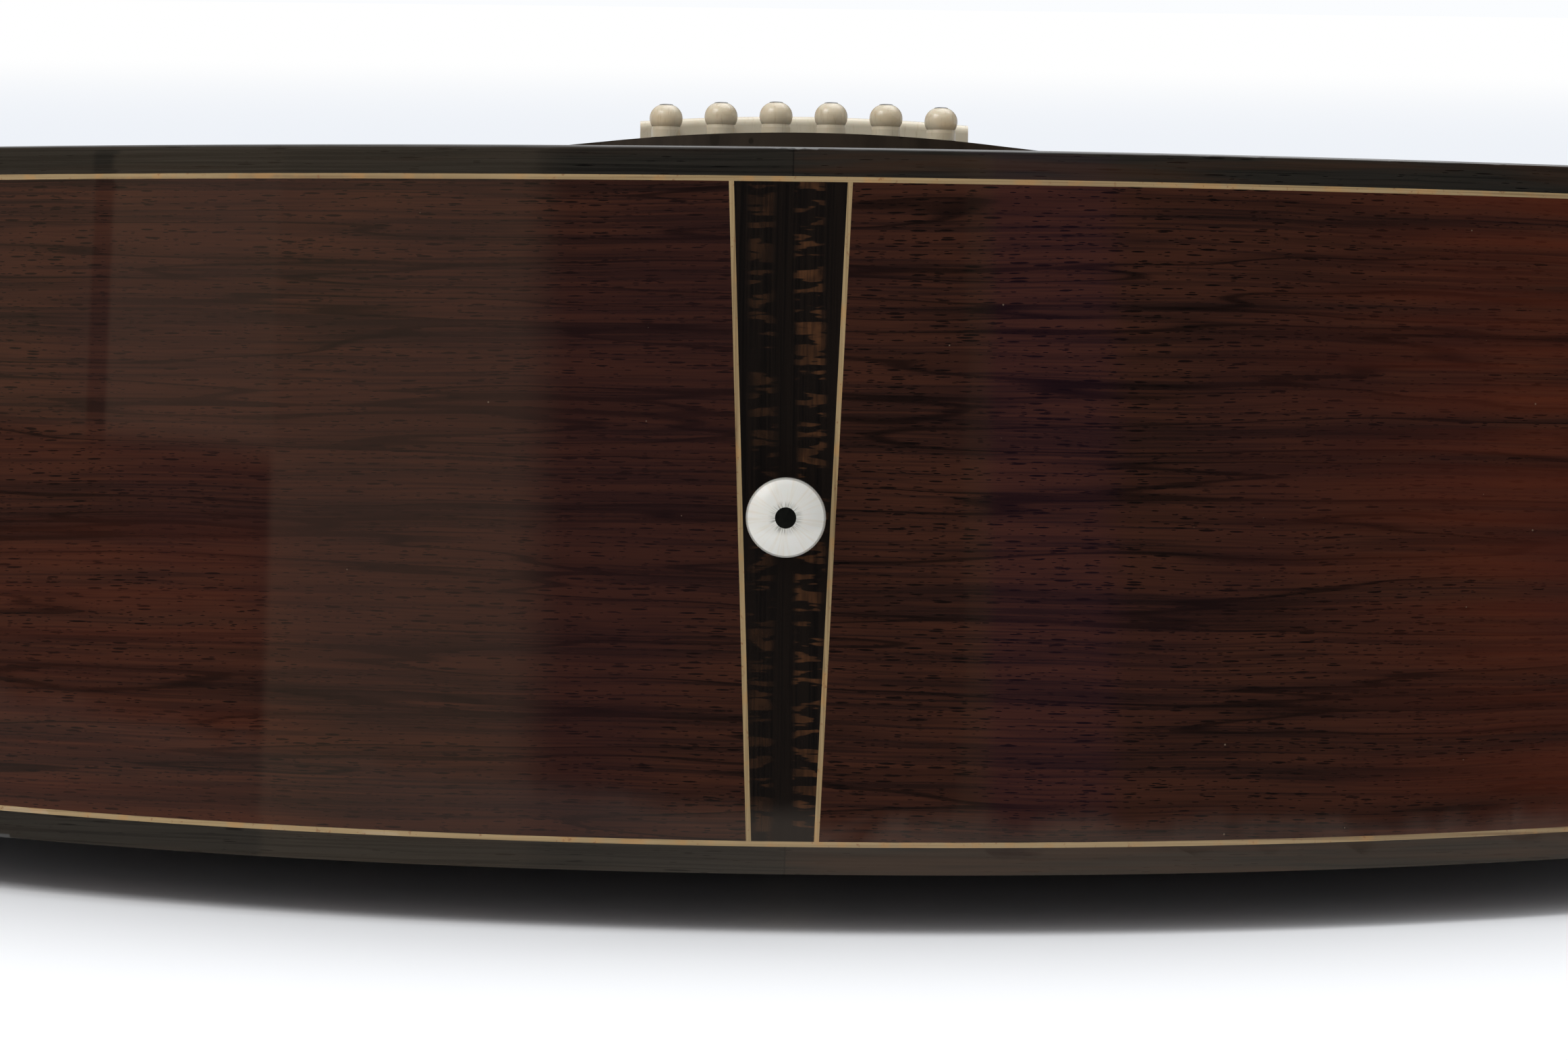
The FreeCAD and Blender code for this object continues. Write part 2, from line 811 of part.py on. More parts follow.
def make_end_pin():
    """The end pin, drawn along Z with its seat at Z = 0 and its head upwards, and its dot."""
    head = end_pin_head_diameter / 2
    seat = end_pin_seat_diameter / 2
    waist = end_pin_waist_diameter / 2
    shank = end_pin_shank_diameter / 2
    dot = end_pin_dot_diameter / 2
    length = end_pin_head_length
    rim = length * end_rim_share
    lip = length * end_lip_share
    crown = length - end_crown_drop
    rim_place = point(head * end_rim_reach_share, 0, rim)
    crown_place = point(head * end_crown_reach_share, 0, crown)
    dome_drop = end_crown_drop * end_dome_drop_share
    dome_place = point(head * end_dome_reach_share, 0, length - dome_drop)
    edges = chain([point(0, 0, -end_pin_shank_length), point(shank, 0, -end_pin_shank_length),
                   point(shank, 0, 0), point(seat, 0, 0), point(seat, 0, lip)])
    edges.append(arc(point(seat, 0, lip), point(waist, 0, (lip + rim) / 2), rim_place))
    edges.append(arc(rim_place, point(head, 0, rim + lip / 2), crown_place))
    edges.append(arc(crown_place, dome_place, point(dot, 0, length)))
    edges.extend(chain([point(dot, 0, length), point(0, 0, length)]))
    dot_solid = Part.makeCylinder(dot, end_pin_dot_depth, point(0, 0, length - end_pin_dot_depth))
    pin = spun(edges).cut(dot_solid)
    placed = []
    for shape in (pin, dot_solid):
        lying = turned(shape, point(0, 0), across, 90)
        placed.append(moved(lying, point(0, 0, -end_pin_drop)))
    return placed


def make_pickguard():
    """A thin guard beside the soundhole, on the treble side, that widens towards the bridge."""
    ring = soundhole_diameter / 2 + pickguard_gap
    center = point(0, soundhole_y)
    upper = math.radians(pickguard_upper_angle)
    lower = math.radians(pickguard_lower_angle)
    middle = (upper + lower) / 2
    inner = [center + point(math.cos(angle), math.sin(angle)) * ring for angle in (upper, middle, lower)]
    corners = [inner[0]]
    for ring_share, reach_share, length_share in pickguard_corner_shares:
        x = ring * ring_share + pickguard_reach * reach_share
        corners.append(center + point(x, pickguard_length * length_share))
    corners.append(inner[2])
    bulges = (along * pickguard_end_bulge, across * pickguard_side_bulge, across * pickguard_end_bulge,
              along * -pickguard_end_bulge, across * pickguard_side_bulge)
    edges = [arc(inner[0], inner[1], inner[2])]
    for start, end, bulge in zip(corners, corners[1:], bulges):
        edges.append(arc(start, (start + end) / 2 + bulge, end))
    face = Part.Face(Part.Wire(Part.__sortEdges__(edges)))
    return face.extrude(upward * pickguard_thickness)


# Neck, fingerboard and headstock. They are drawn with the neck level and then set back.
def set_back(shape):
    return turned(shape, point(0, body_length), across, -neck_angle)


def on_head(shape):
    """Move a shape drawn on the headstock's face, at the nut and level, to its place."""
    tipped = turned(shape, point(0, 0), across, -head_angle)
    return set_back(moved(tipped, point(0, nut_y + nut_thickness)))


def fret_y(number):
    return nut_y - scale_length * (1 - 2 ** (-number / 12))


def board_half_width(y):
    share = (nut_y - y) / board_length
    return (nut_width + (board_end_width - nut_width) * share) / 2


def shaft_section(y, depth):
    ellipse = Part.Ellipse(point(0, 0), board_half_width(y), depth)
    bottom = Part.ArcOfEllipse(ellipse, math.pi, 2 * math.pi).toShape()
    bottom.rotate(point(0, 0), across, 90)
    bottom.translate(point(0, y))
    top = Part.makeLine(bottom.Vertexes[-1].Point, bottom.Vertexes[0].Point)
    return Part.Wire([bottom, top])


def heel_section(z, half_width, length):
    inner_y = body_length - heel_joint_overlap
    points = []
    for step in range(heel_steps + 1):
        angle = math.pi * step / heel_steps
        points.append(point(half_width * math.cos(angle), body_length + length * math.sin(angle), z))
    curve = Part.BSplineCurve()
    curve.interpolate(Points=points)
    corners = [point(-half_width, body_length, z), point(-half_width, inner_y, z),
               point(half_width, inner_y, z), point(half_width, body_length, z)]
    return Part.Wire(Part.__sortEdges__([curve.toShape()] + chain(corners)))


def make_heel():
    bottom = -heel_depth + heel_cap_thickness
    cap_half = heel_cap_width / 2
    joint_half = board_half_width(body_length)
    sections = []
    for depth_share, width_share, length_share in heel_shares:
        half = cap_half + (joint_half - cap_half) * width_share
        sections.append(heel_section(bottom * depth_share, half, heel_cap_length * length_share))
    return Part.makeLoft(sections, True, False)


def make_heel_cap():
    section = heel_section(-heel_depth, heel_cap_width / 2, heel_cap_length)
    cap = Part.Face(section).extrude(upward * heel_cap_thickness)
    return cap.cut(body_hull())


def body_hull():
    return outline_prism(0, deepest, overrun)


def head_plan(low, high):
    """The headstock seen from its face: a flare at the nut, straight sides and a curved tip."""
    base = head_base_width / 2
    tip = head_tip_width / 2
    start = nut_width / 2
    flare = head_base_width * flare_share
    shoulder = head_length - head_shoulder_drop
    rounding = head_round * head_corner_share
    flare_middle = point((start + base) / 2 + head_round * flare_bulge_share, flare * flare_middle_share)
    corner = point(tip - rounding, shoulder + head_round - rounding)
    corner_end = point(tip - head_round, shoulder + head_round)
    right = chain([point(base, flare), point(tip, shoulder)])
    right.append(arc(point(start, 0), flare_middle, point(base, flare)))
    right.append(arc(point(tip, shoulder), corner, corner_end))
    right.append(arc(corner_end, point(tip / 2, head_length - rounding), point(0, head_length)))
    left = [mirrored(edge) for edge in right]
    base_line = Part.makeLine(point(-start, 0), point(start, 0))
    face = Part.Face(Part.Wire(Part.__sortEdges__(right + left + [base_line])))
    face.translate(upward * low)
    return face.extrude(upward * (high - low))


def make_neck(drillings):
    """Shaft, heel with its tenon, and headstock, in one piece of wood."""
    heads = nut_y + nut_thickness + neck_depth_nut
    middle = (body_length + nut_y) / 2
    middle_depth = (neck_depth_nut + neck_depth_joint) / 2
    sections = [shaft_section(body_length - heel_joint_overlap, neck_depth_joint),
                shaft_section(middle, middle_depth), shaft_section(heads, neck_depth_nut)]
    shaft = Part.makeLoft(sections, True, False)
    shaft = set_back(shaft)
    above_head = on_head(box_between(point(-head_tip_width, -head_round / 2, 0),
                                     point(head_tip_width, head_length, overrun)))
    nut_seat = set_back(box_between(point(-head_tip_width, nut_y, 0),
                                    point(head_tip_width, nut_y + nut_thickness, overrun)))
    head = on_head(head_plan(-head_thickness, 0))
    neck = shaft.cut(above_head).fuse(head).fuse(make_heel()).cut(nut_seat)
    above_board = set_back(box_between(point(-head_tip_width, -overrun, 0),
                                       point(head_tip_width, nut_y, overrun)))
    neck = neck.cut(body_hull()).cut(above_board)
    neck = neck.fuse(neck_tenon()).removeSplitter()
    channel = set_back(truss_channel())
    return neck.cut(Part.makeCompound([channel] + drillings))


def make_fingerboard(frets, dots):
    """The board is flat below and crowned above. Past the joint it lies on the soundboard."""
    end = nut_y - board_length
    below = overrun / 2
    corners = []
    for side, y in ((-1, end), (1, end), (1, nut_y), (-1, nut_y)):
        corners.append(point(side * board_half_width(y), y, -below))
    blank = polygon_prism(corners, upward * (below + board_thickness))
    blank = blank.common(crown_cylinder(board_thickness))
    under_neck = box_between(point(-board_end_width, body_length, -overrun),
                             point(board_end_width, nut_y, 0))
    blank = set_back(blank.cut(under_neck))
    under_body = box_between(point(-board_end_width, 0, -overrun),
                             point(board_end_width, body_length + fret_height, 0))
    return blank.cut(under_body).cut(Part.makeCompound(frets + dots))


def make_fret(number):
    """One fret: a rounded crown that follows the board, and a tang in its slot."""
    y = fret_y(number)
    half = fret_width / 2
    tang = fret_tang_width / 2
    base = board_thickness
    edges = [arc(point(0, y - half, base), point(0, y, base + fret_height), point(0, y + half, base))]
    foot = base - fret_tang_depth
    edges.extend(chain([point(0, y + half, base), point(0, y + tang, base), point(0, y + tang, foot),
                        point(0, y - tang, foot), point(0, y - tang, base), point(0, y - half, base)]))
    face = Part.Face(Part.Wire(edges))
    reach = math.degrees(math.asin((board_half_width(y) - fret_tang_width) / board_radius))
    axis_place = point(0, y, board_thickness - board_radius)
    face.rotate(axis_place, along, -reach)
    return set_back(face.revolve(axis_place, along, 2 * reach))


def make_position_dots():
    places = [point(0, (fret_y(number) + fret_y(number - 1)) / 2) for number in single_dot_frets]
    y = (fret_y(double_dot_fret) + fret_y(double_dot_fret - 1)) / 2
    for side in (-1, 1):
        places.append(point(side * board_half_width(y) * double_dot_share, y))
    crown = crown_cylinder(board_thickness)
    dots = []
    for place in places:
        depth = dot_depth + crown_drop(place.x)
        blank = Part.makeCylinder(dot_diameter / 2, depth, place + upward * (board_thickness - depth))
        dots.append(set_back(blank.common(crown)))
    return dots


def nut_places():
    """Where each string crosses the nut: its side place and the height of its centre line."""
    places = []
    for index, diameter in enumerate(string_diameters):
        x = string_spread_nut * (index / (string_count - 1) - 1 / 2)
        height = fret_plane - crown_drop(x) + nut_string_gap + diameter / 2
        places.append(point(x, nut_y + nut_thickness, height))
    return places


def make_nut():
    half = nut_width / 2
    blank = box_between(point(-half, nut_y, 0), point(half, nut_y + nut_thickness, nut_height))
    blank = blank.common(crown_cylinder(nut_height))
    slots = []
    for place, diameter in zip(nut_places(), string_diameters):
        wide = diameter / 2 + shaft_clearance
        slots.append(box_between(point(place.x - wide, nut_y - overrun, place.z - wide),
                                 point(place.x + wide, place.y + overrun, nut_height + overrun)))
    return set_back(blank.cut(Part.makeCompound(slots)))


def make_truss_rod():
    return set_back(truss_channel())


def make_truss_nut():
    """The adjusting nut, with its hexagonal key socket open to the soundhole."""
    start = body_length - tenon_length - truss_nut_length
    place = point(0, start, -truss_rod_drop - truss_rod_height / 2)
    nut = Part.makeCylinder(truss_nut_diameter / 2, truss_nut_length - truss_clearance, place, along)
    corners = []
    for step in range(truss_nut_key_sides):
        angle = 2 * math.pi * step / truss_nut_key_sides
        corners.append(place + point(math.cos(angle), 0, math.sin(angle)) * (truss_nut_key / math.sqrt(3)))
    socket = polygon_prism(corners, along * (truss_nut_length / 2))
    return set_back(nut.cut(socket))


# Tuners. Each is drawn with its post on Z and the headstock's face at Z = 0, for the treble side.
def head_half_width(u):
    shoulder = head_length - head_shoulder_drop
    start = head_base_width * flare_share
    share = (u - start) / (shoulder - start)
    return (head_base_width + (head_tip_width - head_base_width) * share) / 2


def tuner_places():
    """Places of the posts on the headstock's face, for the lowest string to the highest."""
    rows = [tuner_first + tuner_pitch * row for row in range(tuner_rows)]
    bass = [point(tuner_inset - head_half_width(u), u) for u in rows]
    treble = [point(head_half_width(u) - tuner_inset, u) for u in reversed(rows)]
    return bass + treble


def at_tuner(shape, index):
    place = tuner_places()[index]
    sided = shape if place.x > 0 else mirrored(shape)
    return on_head(moved(sided, place))


plate_face = -head_thickness
plate_low = plate_face - tuner_plate_thickness
worm_height = plate_low - mesh_clearance - worm_thread_diameter / 2
gear_top = worm_height + gear_thickness / 2
gear_bottom = worm_height - gear_thickness / 2
gear_tip_radius = gear_pitch_radius + gear_module * gear_tip_share
gear_root_radius = gear_pitch_radius - gear_module * gear_root_share
worm_distance = gear_tip_radius + mesh_clearance + worm_core_diameter / 2


def tuner_gear():
    """The gear below the plate, with a hub that reaches up to the plate."""
    corners = []
    flanks = ((gear_root_radius, -gear_root_width_share), (gear_tip_radius, -gear_tip_width_share),
              (gear_tip_radius, gear_tip_width_share), (gear_root_radius, gear_root_width_share))
    for tooth in range(gear_teeth):
        middle = 2 * math.pi * (tooth + 1 / 2) / gear_teeth + math.pi / 2
        for radius, width_share in flanks:
            angle = middle + gear_tooth_width * width_share / 2 / radius
            corners.append(point(radius * math.cos(angle), radius * math.sin(angle), gear_bottom))
    gear = polygon_prism(corners, upward * gear_thickness)
    hub_height = plate_low - mesh_clearance - gear_top
    gear = gear.fuse(Part.makeCylinder(gear_hub_diameter / 2, hub_height, point(0, 0, gear_top)))
    return gear.cut(Part.makeCylinder(post_diameter / 2, overrun, point(0, 0, gear_bottom - overrun / 2)))


def tuner_post():
    """The string post, waisted where the string winds, with a cross hole above the turns."""
    radius = post_diameter / 2
    top = headplate_thickness + post_height
    post = Part.makeCylinder(radius, top - gear_bottom, point(0, 0, gear_bottom))
    rims = [edge for edge in post.Edges if abs(edge.BoundBox.ZMin - top) < shaft_clearance]
    post = post.makeFillet(post_round, [edge for edge in rims if edge.BoundBox.XLength > radius])
    hole_place = point(0, -overrun / 2, top - post_height * post_hole_share)
    return post.cut(Part.makeCylinder(post_hole_diameter / 2, overrun, hole_place, along))


def tuner_bushing():
    base = headplate_thickness - bushing_length
    sleeve = Part.makeCylinder(bushing_diameter / 2, bushing_length, point(0, 0, base))
    flange = Part.makeCylinder(bushing_flange_diameter / 2, bushing_flange_height,
                               point(0, 0, headplate_thickness))
    bore = Part.makeCylinder(post_diameter / 2 + shaft_clearance, overrun * 2,
                             point(0, 0, base - overrun / 2))
    return sleeve.fuse(flange).cut(bore).removeSplitter()


def post_drilling():
    """The stepped hole through the headstock and its face plate for one post."""
    base = headplate_thickness - bushing_length
    wide = Part.makeCylinder(bushing_diameter / 2, bushing_length, point(0, 0, base))
    narrow = Part.makeCylinder(post_diameter / 2 + mesh_clearance, overrun * 2, point(0, 0, -overrun))
    return wide.fuse(narrow)


def screw_places():
    reach = tuner_plate_length / 2 - screw_head_diameter * screw_edge_share
    middle = worm_distance * tuner_plate_lead_share
    return [point(0, middle - reach), point(0, middle + reach)]


def screw_drilling(place):
    return Part.makeCylinder(screw_shank_diameter / 2, screw_length, place + upward * plate_face)


def tuner_screws():
    screws = []
    head_low = plate_low - screw_head_height
    slot_half = screw_slot_width / 2
    for place in screw_places():
        shank = Part.makeCylinder(screw_shank_diameter / 2, screw_length + tuner_plate_thickness,
                                  place + upward * plate_low)
        head = Part.makeCylinder(screw_head_diameter / 2, screw_head_height, place + upward * head_low)
        slot = box_between(place + point(-screw_head_diameter, -slot_half, head_low),
                           place + point(screw_head_diameter, slot_half, head_low + screw_head_height / 2))
        screws.append(head.cut(slot).fuse(shank).removeSplitter())
    return screws


def tuner_plate():
    """The plate on the back of the headstock, with two ears that carry the worm's shaft."""
    half = tuner_plate_width / 2
    middle = worm_distance * tuner_plate_lead_share
    plate = box_between(point(-half, middle - tuner_plate_length / 2, plate_low),
                        point(half, middle + tuner_plate_length / 2, plate_face))
    corners = [edge for edge in plate.Edges if edge.BoundBox.ZLength > tuner_plate_thickness / 2]
    plate = plate.makeFillet(tuner_plate_round, corners)
    inside = worm_length / 2 + mesh_clearance
    for side in (-1, 1):
        start = inside if side > 0 else -inside - tuner_ear_thickness
        ear_low = point(start, worm_distance - tuner_ear_width / 2, worm_height - tuner_ear_width / 2)
        ear_high = point(start + tuner_ear_thickness, worm_distance + tuner_ear_width / 2, plate_low)
        plate = plate.fuse(box_between(ear_low, ear_high))
    bore = Part.makeCylinder(tuner_shaft_diameter / 2 + shaft_clearance, overrun * 2,
                             point(-overrun, worm_distance, worm_height), across)
    under = upward * (plate_low - overrun / 2)
    holes = [bore, Part.makeCylinder(post_diameter / 2 + mesh_clearance, overrun, under)]
    for place in screw_places():
        holes.append(Part.makeCylinder(screw_shank_diameter / 2, overrun, place + under))
    return plate.cut(Part.makeCompound(holes)).removeSplitter()


def worm_thread():
    """One thread wound round the worm's core. Its middle faces the gear between two teeth."""
    root = worm_core_diameter / 2 - shaft_clearance
    tip = worm_thread_diameter / 2
    length = worm_length - worm_lead
    helix = Part.makeHelix(worm_lead, length, root)
    wide = worm_thread_width * worm_root_width_share
    narrow = worm_thread_width * worm_tip_width_share
    profile = Part.makePolygon([point(root, 0, -wide), point(tip, 0, -narrow), point(tip, 0, narrow),
                                point(root, 0, wide), point(root, 0, -wide)])
    thread = Part.Wire(helix).makePipeShell([profile], True, True)
    facing_gear = -90 - 180 * length / worm_lead
    return turned(moved(thread, upward * (-length / 2)), point(0, 0), upward, facing_gear)


def tuner_shaft():
    """The worm with its shaft and button, turning about X at the worm's place."""
    inner = -worm_length / 2 - mesh_clearance - tuner_ear_thickness
    core = Part.makeCylinder(worm_core_diameter / 2, worm_length, point(0, 0, -worm_length / 2))
    shaft = Part.makeCylinder(tuner_shaft_diameter / 2, button_reach - inner, point(0, 0, inner))
    steel = core.fuse(worm_thread()).fuse(shaft)
    button = tuner_button().cut(shaft)
    placed = []
    for shape in (steel, button):
        lying = turned(shape, point(0, 0), along, 90)
        placed.append(moved(lying, point(0, worm_distance, worm_height)))
    return placed


def tuner_button():
    """A flat oval button, drawn with its shaft along Z."""
    half_long = button_length / 2
    half_wide = button_width / 2
    middle = button_reach + half_wide * button_bite_share
    ends = [point(0, half_long, middle), point(0, -half_long, middle)]
    sides = [point(0, 0, middle + half_wide), point(0, 0, middle - half_wide)]
    oval = Part.Face(Part.Wire([arc(ends[0], sides[0], ends[1]), arc(ends[1], sides[1], ends[0])]))
    oval.translate(across * (-button_thickness / 2))
    button = oval.extrude(across * button_thickness)
    rims = [edge for edge in button.Edges if edge.BoundBox.XLength < button_thickness / 2]
    return button.makeFillet(button_thickness * button_round_share, rims)


# Strings. Each runs straight between its bends, and each bend is an arc that both runs touch.
def rounded_path(corners, radii):
    edges = []
    start = corners[0]
    for index in range(1, len(corners) - 1):
        corner = corners[index]
        before = (start - corner).normalize()
        after = (corners[index + 1] - corner).normalize()
        half_angle = math.acos(max(-1, min(1, before.dot(after)))) / 2
        reach = radii[index - 1] / math.tan(half_angle)
        rise = radii[index - 1] / math.sin(half_angle) - radii[index - 1]
        first = corner + before * reach
        last = corner + after * reach
        middle = corner + (before + after).normalize() * rise
        edges.append(Part.makeLine(start, first))
        edges.append(arc(first, middle, last))
        start = last
    edges.append(Part.makeLine(start, corners[-1]))
    return Part.Wire(edges)


def tube(path, diameter):
    first = path.Edges[0]
    start = first.valueAt(first.FirstParameter)
    circle = Part.Circle(start, first.tangentAt(first.FirstParameter), diameter / 2)
    return path.makePipeShell([Part.Wire([circle.toShape()])], True, False)


def over_saddle(x, diameter, before, after):
    """The corner of a string's route that lays its bend on the saddle's rounded crest."""
    slant = saddle_slant / saddle_length * x
    center = point(x, saddle_y + slant, saddle_crest - crown_drop(x) - saddle_thickness / 2)
    back = (before - center).normalize()
    forward = (after - center).normalize()
    half_angle = math.acos(back.dot(forward)) / 2
    rise = string_crest_radius / math.sin(half_angle) - string_crest_radius
    outward = (back + forward).normalize() * -1
    return center + outward * (saddle_thickness / 2 + diameter / 2 + shaft_clearance + rise)


def string_route(index):
    """Corners of one string's route and the radius of each bend, from its ball end to its post."""
    diameter = string_diameters[index]
    pin = pin_places()[index]
    x = string_spread_saddle * (index / (string_count - 1) - 1 / 2)
    seat = pin_seat_height(pin)
    groove_y = pin.y + pin_shank_diameter / 2 - string_groove_inset
    ball_top = -top_thickness - bridge_plate_thickness - ball_end_diameter / 2
    bend = point(pin.x, groove_y, seat - string_drop)
    nut = set_back(Part.Vertex(nut_places()[index])).Point
    corners = [point(pin.x, groove_y, ball_top), bend, over_saddle(x, diameter, bend, nut), nut]
    radii = [string_bend_radius, string_crest_radius, string_crest_radius]
    post = tuner_places()[index]
    inner = -1 if post.x > 0 else 1
    radius = post_diameter / 2 + winding_clearance + diameter / 2
    corner_radius = radius / math.cos(math.pi / winding_sides)
    pitch = diameter + winding_gap
    for step in range(winding_turns * winding_sides):
        angle = 2 * math.pi * (step + 1 / 2) / winding_sides
        spot = post + point(inner * math.cos(angle), math.sin(angle)) * corner_radius
        spot.z = headplate_thickness + winding_height - pitch * step / winding_sides
        corners.append(on_head(Part.Vertex(spot)).Point)
        radii.append(radius * winding_ease_share)
    return corners, radii[:len(corners) - 2]


def make_strings():
    strings = []
    for index, diameter in enumerate(string_diameters):
        corners, radii = string_route(index)
        ball_place = corners[0] - point(ball_end_length / 2, 0, ball_end_diameter / 2)
        strings.append(tube(rounded_path(corners, radii), diameter))
        strings.append(Part.makeCylinder(ball_end_diameter / 2, ball_end_length, ball_place, across))
    return strings


def post_head_cut():
    """Everything drilled in the headstock: posts, plate screws."""
    drillings = []
    for index in range(string_count):
        drillings.append(at_tuner(post_drilling(), index))
        for place in screw_places():
            drillings.append(at_tuner(screw_drilling(place), index))
    return drillings


def make_headplate(drillings):
    plate = on_head(head_plan(0, headplate_thickness))
    return plate.cut(Part.makeCompound(drillings))


def model():
    """All the pieces, as lists of solids under the names of their nodes."""
    pieces = {}
    room = brace_room()
    x_braces = make_x_braces(room)
    bass, treble, wedge, wedge_lines = make_sides()
    back, strip = make_back()
    frets = [make_fret(number) for number in range(1, fret_count + 1)]
    dots = make_position_dots()
    drillings = post_head_cut()
    pieces["soundboard"] = [make_soundboard()]
    pieces["back"] = [back]
    pieces["back_center_strip"] = [strip]
    pieces["side_bass"] = [bass]
    pieces["side_treble"] = [treble]
    pieces["tail_wedge"] = [wedge]
    pieces["tail_wedge_lines"] = [wedge_lines]
    pieces["top_binding"] = [make_top_binding()]
    pieces["back_binding"] = [make_back_binding()]
    pieces["purfling_lines"] = make_top_purfling() + make_back_purfling()
    pieces["kerfed_linings"] = make_linings()
    pieces["neck_block"] = [make_neck_block()]
    pieces["tail_block"] = [make_tail_block()]
    pieces["x_braces"] = x_braces
    pieces["soundboard_braces"] = make_soundboard_braces(room, x_braces)
    pieces["bridge_plate"] = [make_bridge_plate(x_braces)]
    pieces["back_braces"] = make_back_braces(room)
    pieces["rosette"] = [rosette()]
    pieces["pickguard"] = [make_pickguard()]
    pieces["bridge"] = [make_bridge()]
    pieces["saddle"] = [make_saddle()]
    end_pin, end_pin_dot = make_end_pin()
    pieces["end_pin"] = [end_pin]
    pieces["end_pin_dot"] = [end_pin_dot]
    pieces["neck"] = [make_neck(drillings)]
    pieces["heel_cap"] = [make_heel_cap()]
    pieces["truss_rod"] = [make_truss_rod()]
    pieces["truss_rod_nut"] = [make_truss_nut()]
    pieces["fingerboard"] = [make_fingerboard(frets, dots)]
    pieces["frets"] = frets
    pieces["position_dots"] = dots
    pieces["nut"] = [make_nut()]
    pieces["headplate"] = [make_headplate(drillings)]
    pieces["strings"] = make_strings()
    every = range(string_count)
    pieces["tuner_plates"] = [at_tuner(tuner_plate(), index) for index in every]
    pieces["tuner_screws"] = [at_tuner(screw, index) for index in every for screw in tuner_screws()]
    pieces["tuner_bushings"] = [at_tuner(tuner_bushing(), index) for index in every]
    shaft = tuner_shaft()
    for index in every:
        number = str(index + 1)
        pieces["bridge_pin_" + number] = [make_bridge_pin(index)]
        pieces["tuner_button_" + number] = [at_tuner(shape, index) for shape in shaft]
        pieces["tuner_post_" + number] = [at_tuner(tuner_post(), index)]
        pieces["tuner_gear_" + number] = [at_tuner(tuner_gear(), index)]
    return pieces


def resting_tilt():
    """Angle in degrees that lays the dome and the tip of the headstock on one level plane."""
    tip = on_head(Part.Vertex(point(0, head_length, -head_thickness))).Point
    reach = ball_center - tip
    lean = math.atan2(reach.y, reach.z)
    return math.degrees(-lean - math.acos(back_radius / math.hypot(reach.y, reach.z)))


def lay_down(shape):
    return turned(shape, point(0, 0), across, -resting_tilt())


def resting_offset():
    """The move that brings the tipped guitar onto Z = 0 with its box centred on the origin."""
    bottom = lay_down(Part.Vertex(ball_center)).Point.z - back_radius
    pin_face = lay_down(Part.Vertex(point(0, -end_pin_head_length, -end_pin_drop))).Point.y
    tip = lay_down(on_head(Part.Vertex(point(0, head_length, headplate_thickness)))).Point.y
    return point(0, -(pin_face + tip) / 2, -bottom)


def write_parts():
    os.makedirs("parts", exist_ok=True)
    offset = resting_offset()
    for name, shapes in model().items():
        placed = moved(lay_down(solids_of(shapes)), offset)
        if len(placed.Solids) == 1:
            placed = placed.Solids[0]
        placed.exportStep("parts/" + name + ".step")


write_parts()
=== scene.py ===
import math
import bpy
from mathutils import Matrix, Vector


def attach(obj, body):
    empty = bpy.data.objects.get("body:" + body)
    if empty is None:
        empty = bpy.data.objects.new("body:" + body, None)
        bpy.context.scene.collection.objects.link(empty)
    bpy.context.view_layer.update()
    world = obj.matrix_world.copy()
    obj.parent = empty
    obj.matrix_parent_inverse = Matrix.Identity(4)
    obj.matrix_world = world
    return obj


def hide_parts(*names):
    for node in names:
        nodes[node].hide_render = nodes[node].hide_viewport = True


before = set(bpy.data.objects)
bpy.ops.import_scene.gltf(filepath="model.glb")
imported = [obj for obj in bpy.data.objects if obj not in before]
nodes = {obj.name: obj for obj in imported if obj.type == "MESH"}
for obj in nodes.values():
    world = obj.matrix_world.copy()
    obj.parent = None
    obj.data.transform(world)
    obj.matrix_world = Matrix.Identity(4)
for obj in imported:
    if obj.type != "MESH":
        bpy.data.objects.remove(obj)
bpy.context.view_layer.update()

# The guitar lies on the back of its body and the tip of its head, so its own axes lean by this much.
# In its own axes x is across, y runs from the tail to the head, and z is 0 at the face of the top.
lie_angle = math.radians(3.5820)
lie_shift = Vector((0.0, -0.5060043, 0.1343296))
lie = Matrix.Rotation(-lie_angle, 4, "X")
to_guitar = Matrix.Rotation(lie_angle, 3, "X")
guitar_shift = to_guitar @ -lie_shift

# Places on the guitar, in metres
soundhole_y = 0.360
body_joint_y = 0.508
nut_y = 0.86577
scale_length = 0.64516
neck_angle = math.radians(0.6)
end_pin_drop = -0.063
binding_seam_x = 0.0004
rosette_band_radius = 0.0606
rosette_band_half_width = 0.0020
rosette_line_radii = (0.0545, 0.0580, 0.0583, 0.0629, 0.0632, 0.0666)

# Strings and their ball ends, with lengths in metres
string_count = 6
wound_strings = 4
shortest_wire = 0.1
tail_stretch = 0.010

# Dots of the bridge pins, in metres
pin_spacing = 0.01096
pin_row_y = 0.20297
pin_dot_radius = 0.0014
pin_dot_depth = 0.0006
pin_dot_dome = 0.00022
pin_dot_lift = 0.00003

# Side dots of the fingerboard, in metres
side_dot_frets = (3, 5, 7, 9, 12, 15, 17)
octave_fret = 12
octave_half_gap = 0.0035
side_dot_radius = 0.0010
side_dot_depth = 0.0005
side_dot_dome = 0.00006
side_dot_lift = 0.00002
side_dot_edges = 24
side_dot_height = 0.0028
beside_the_neck = -0.06

# A domed disc: the share of its radius that is flat rim, and each step's shares of radius and rise
flat_rim_share = 0.10
dome_step_shares = ((0.22, 0.55), (0.26, 0.30), (0.22, 0.15))


def laid(x, y, z):
    """A place on the guitar, in metres, turned into a place in the scene."""
    return lie @ Vector((x, y, z)) + lie_shift


def tone(red, green, blue):
    """A colour given as 0 to 255, as a shader colour."""
    def straight(step):
        share = step / 255
        return share / 12.92 if share <= 0.04045 else ((share + 0.055) / 1.055) ** 2.4
    return (straight(red), straight(green), straight(blue), 1.0)


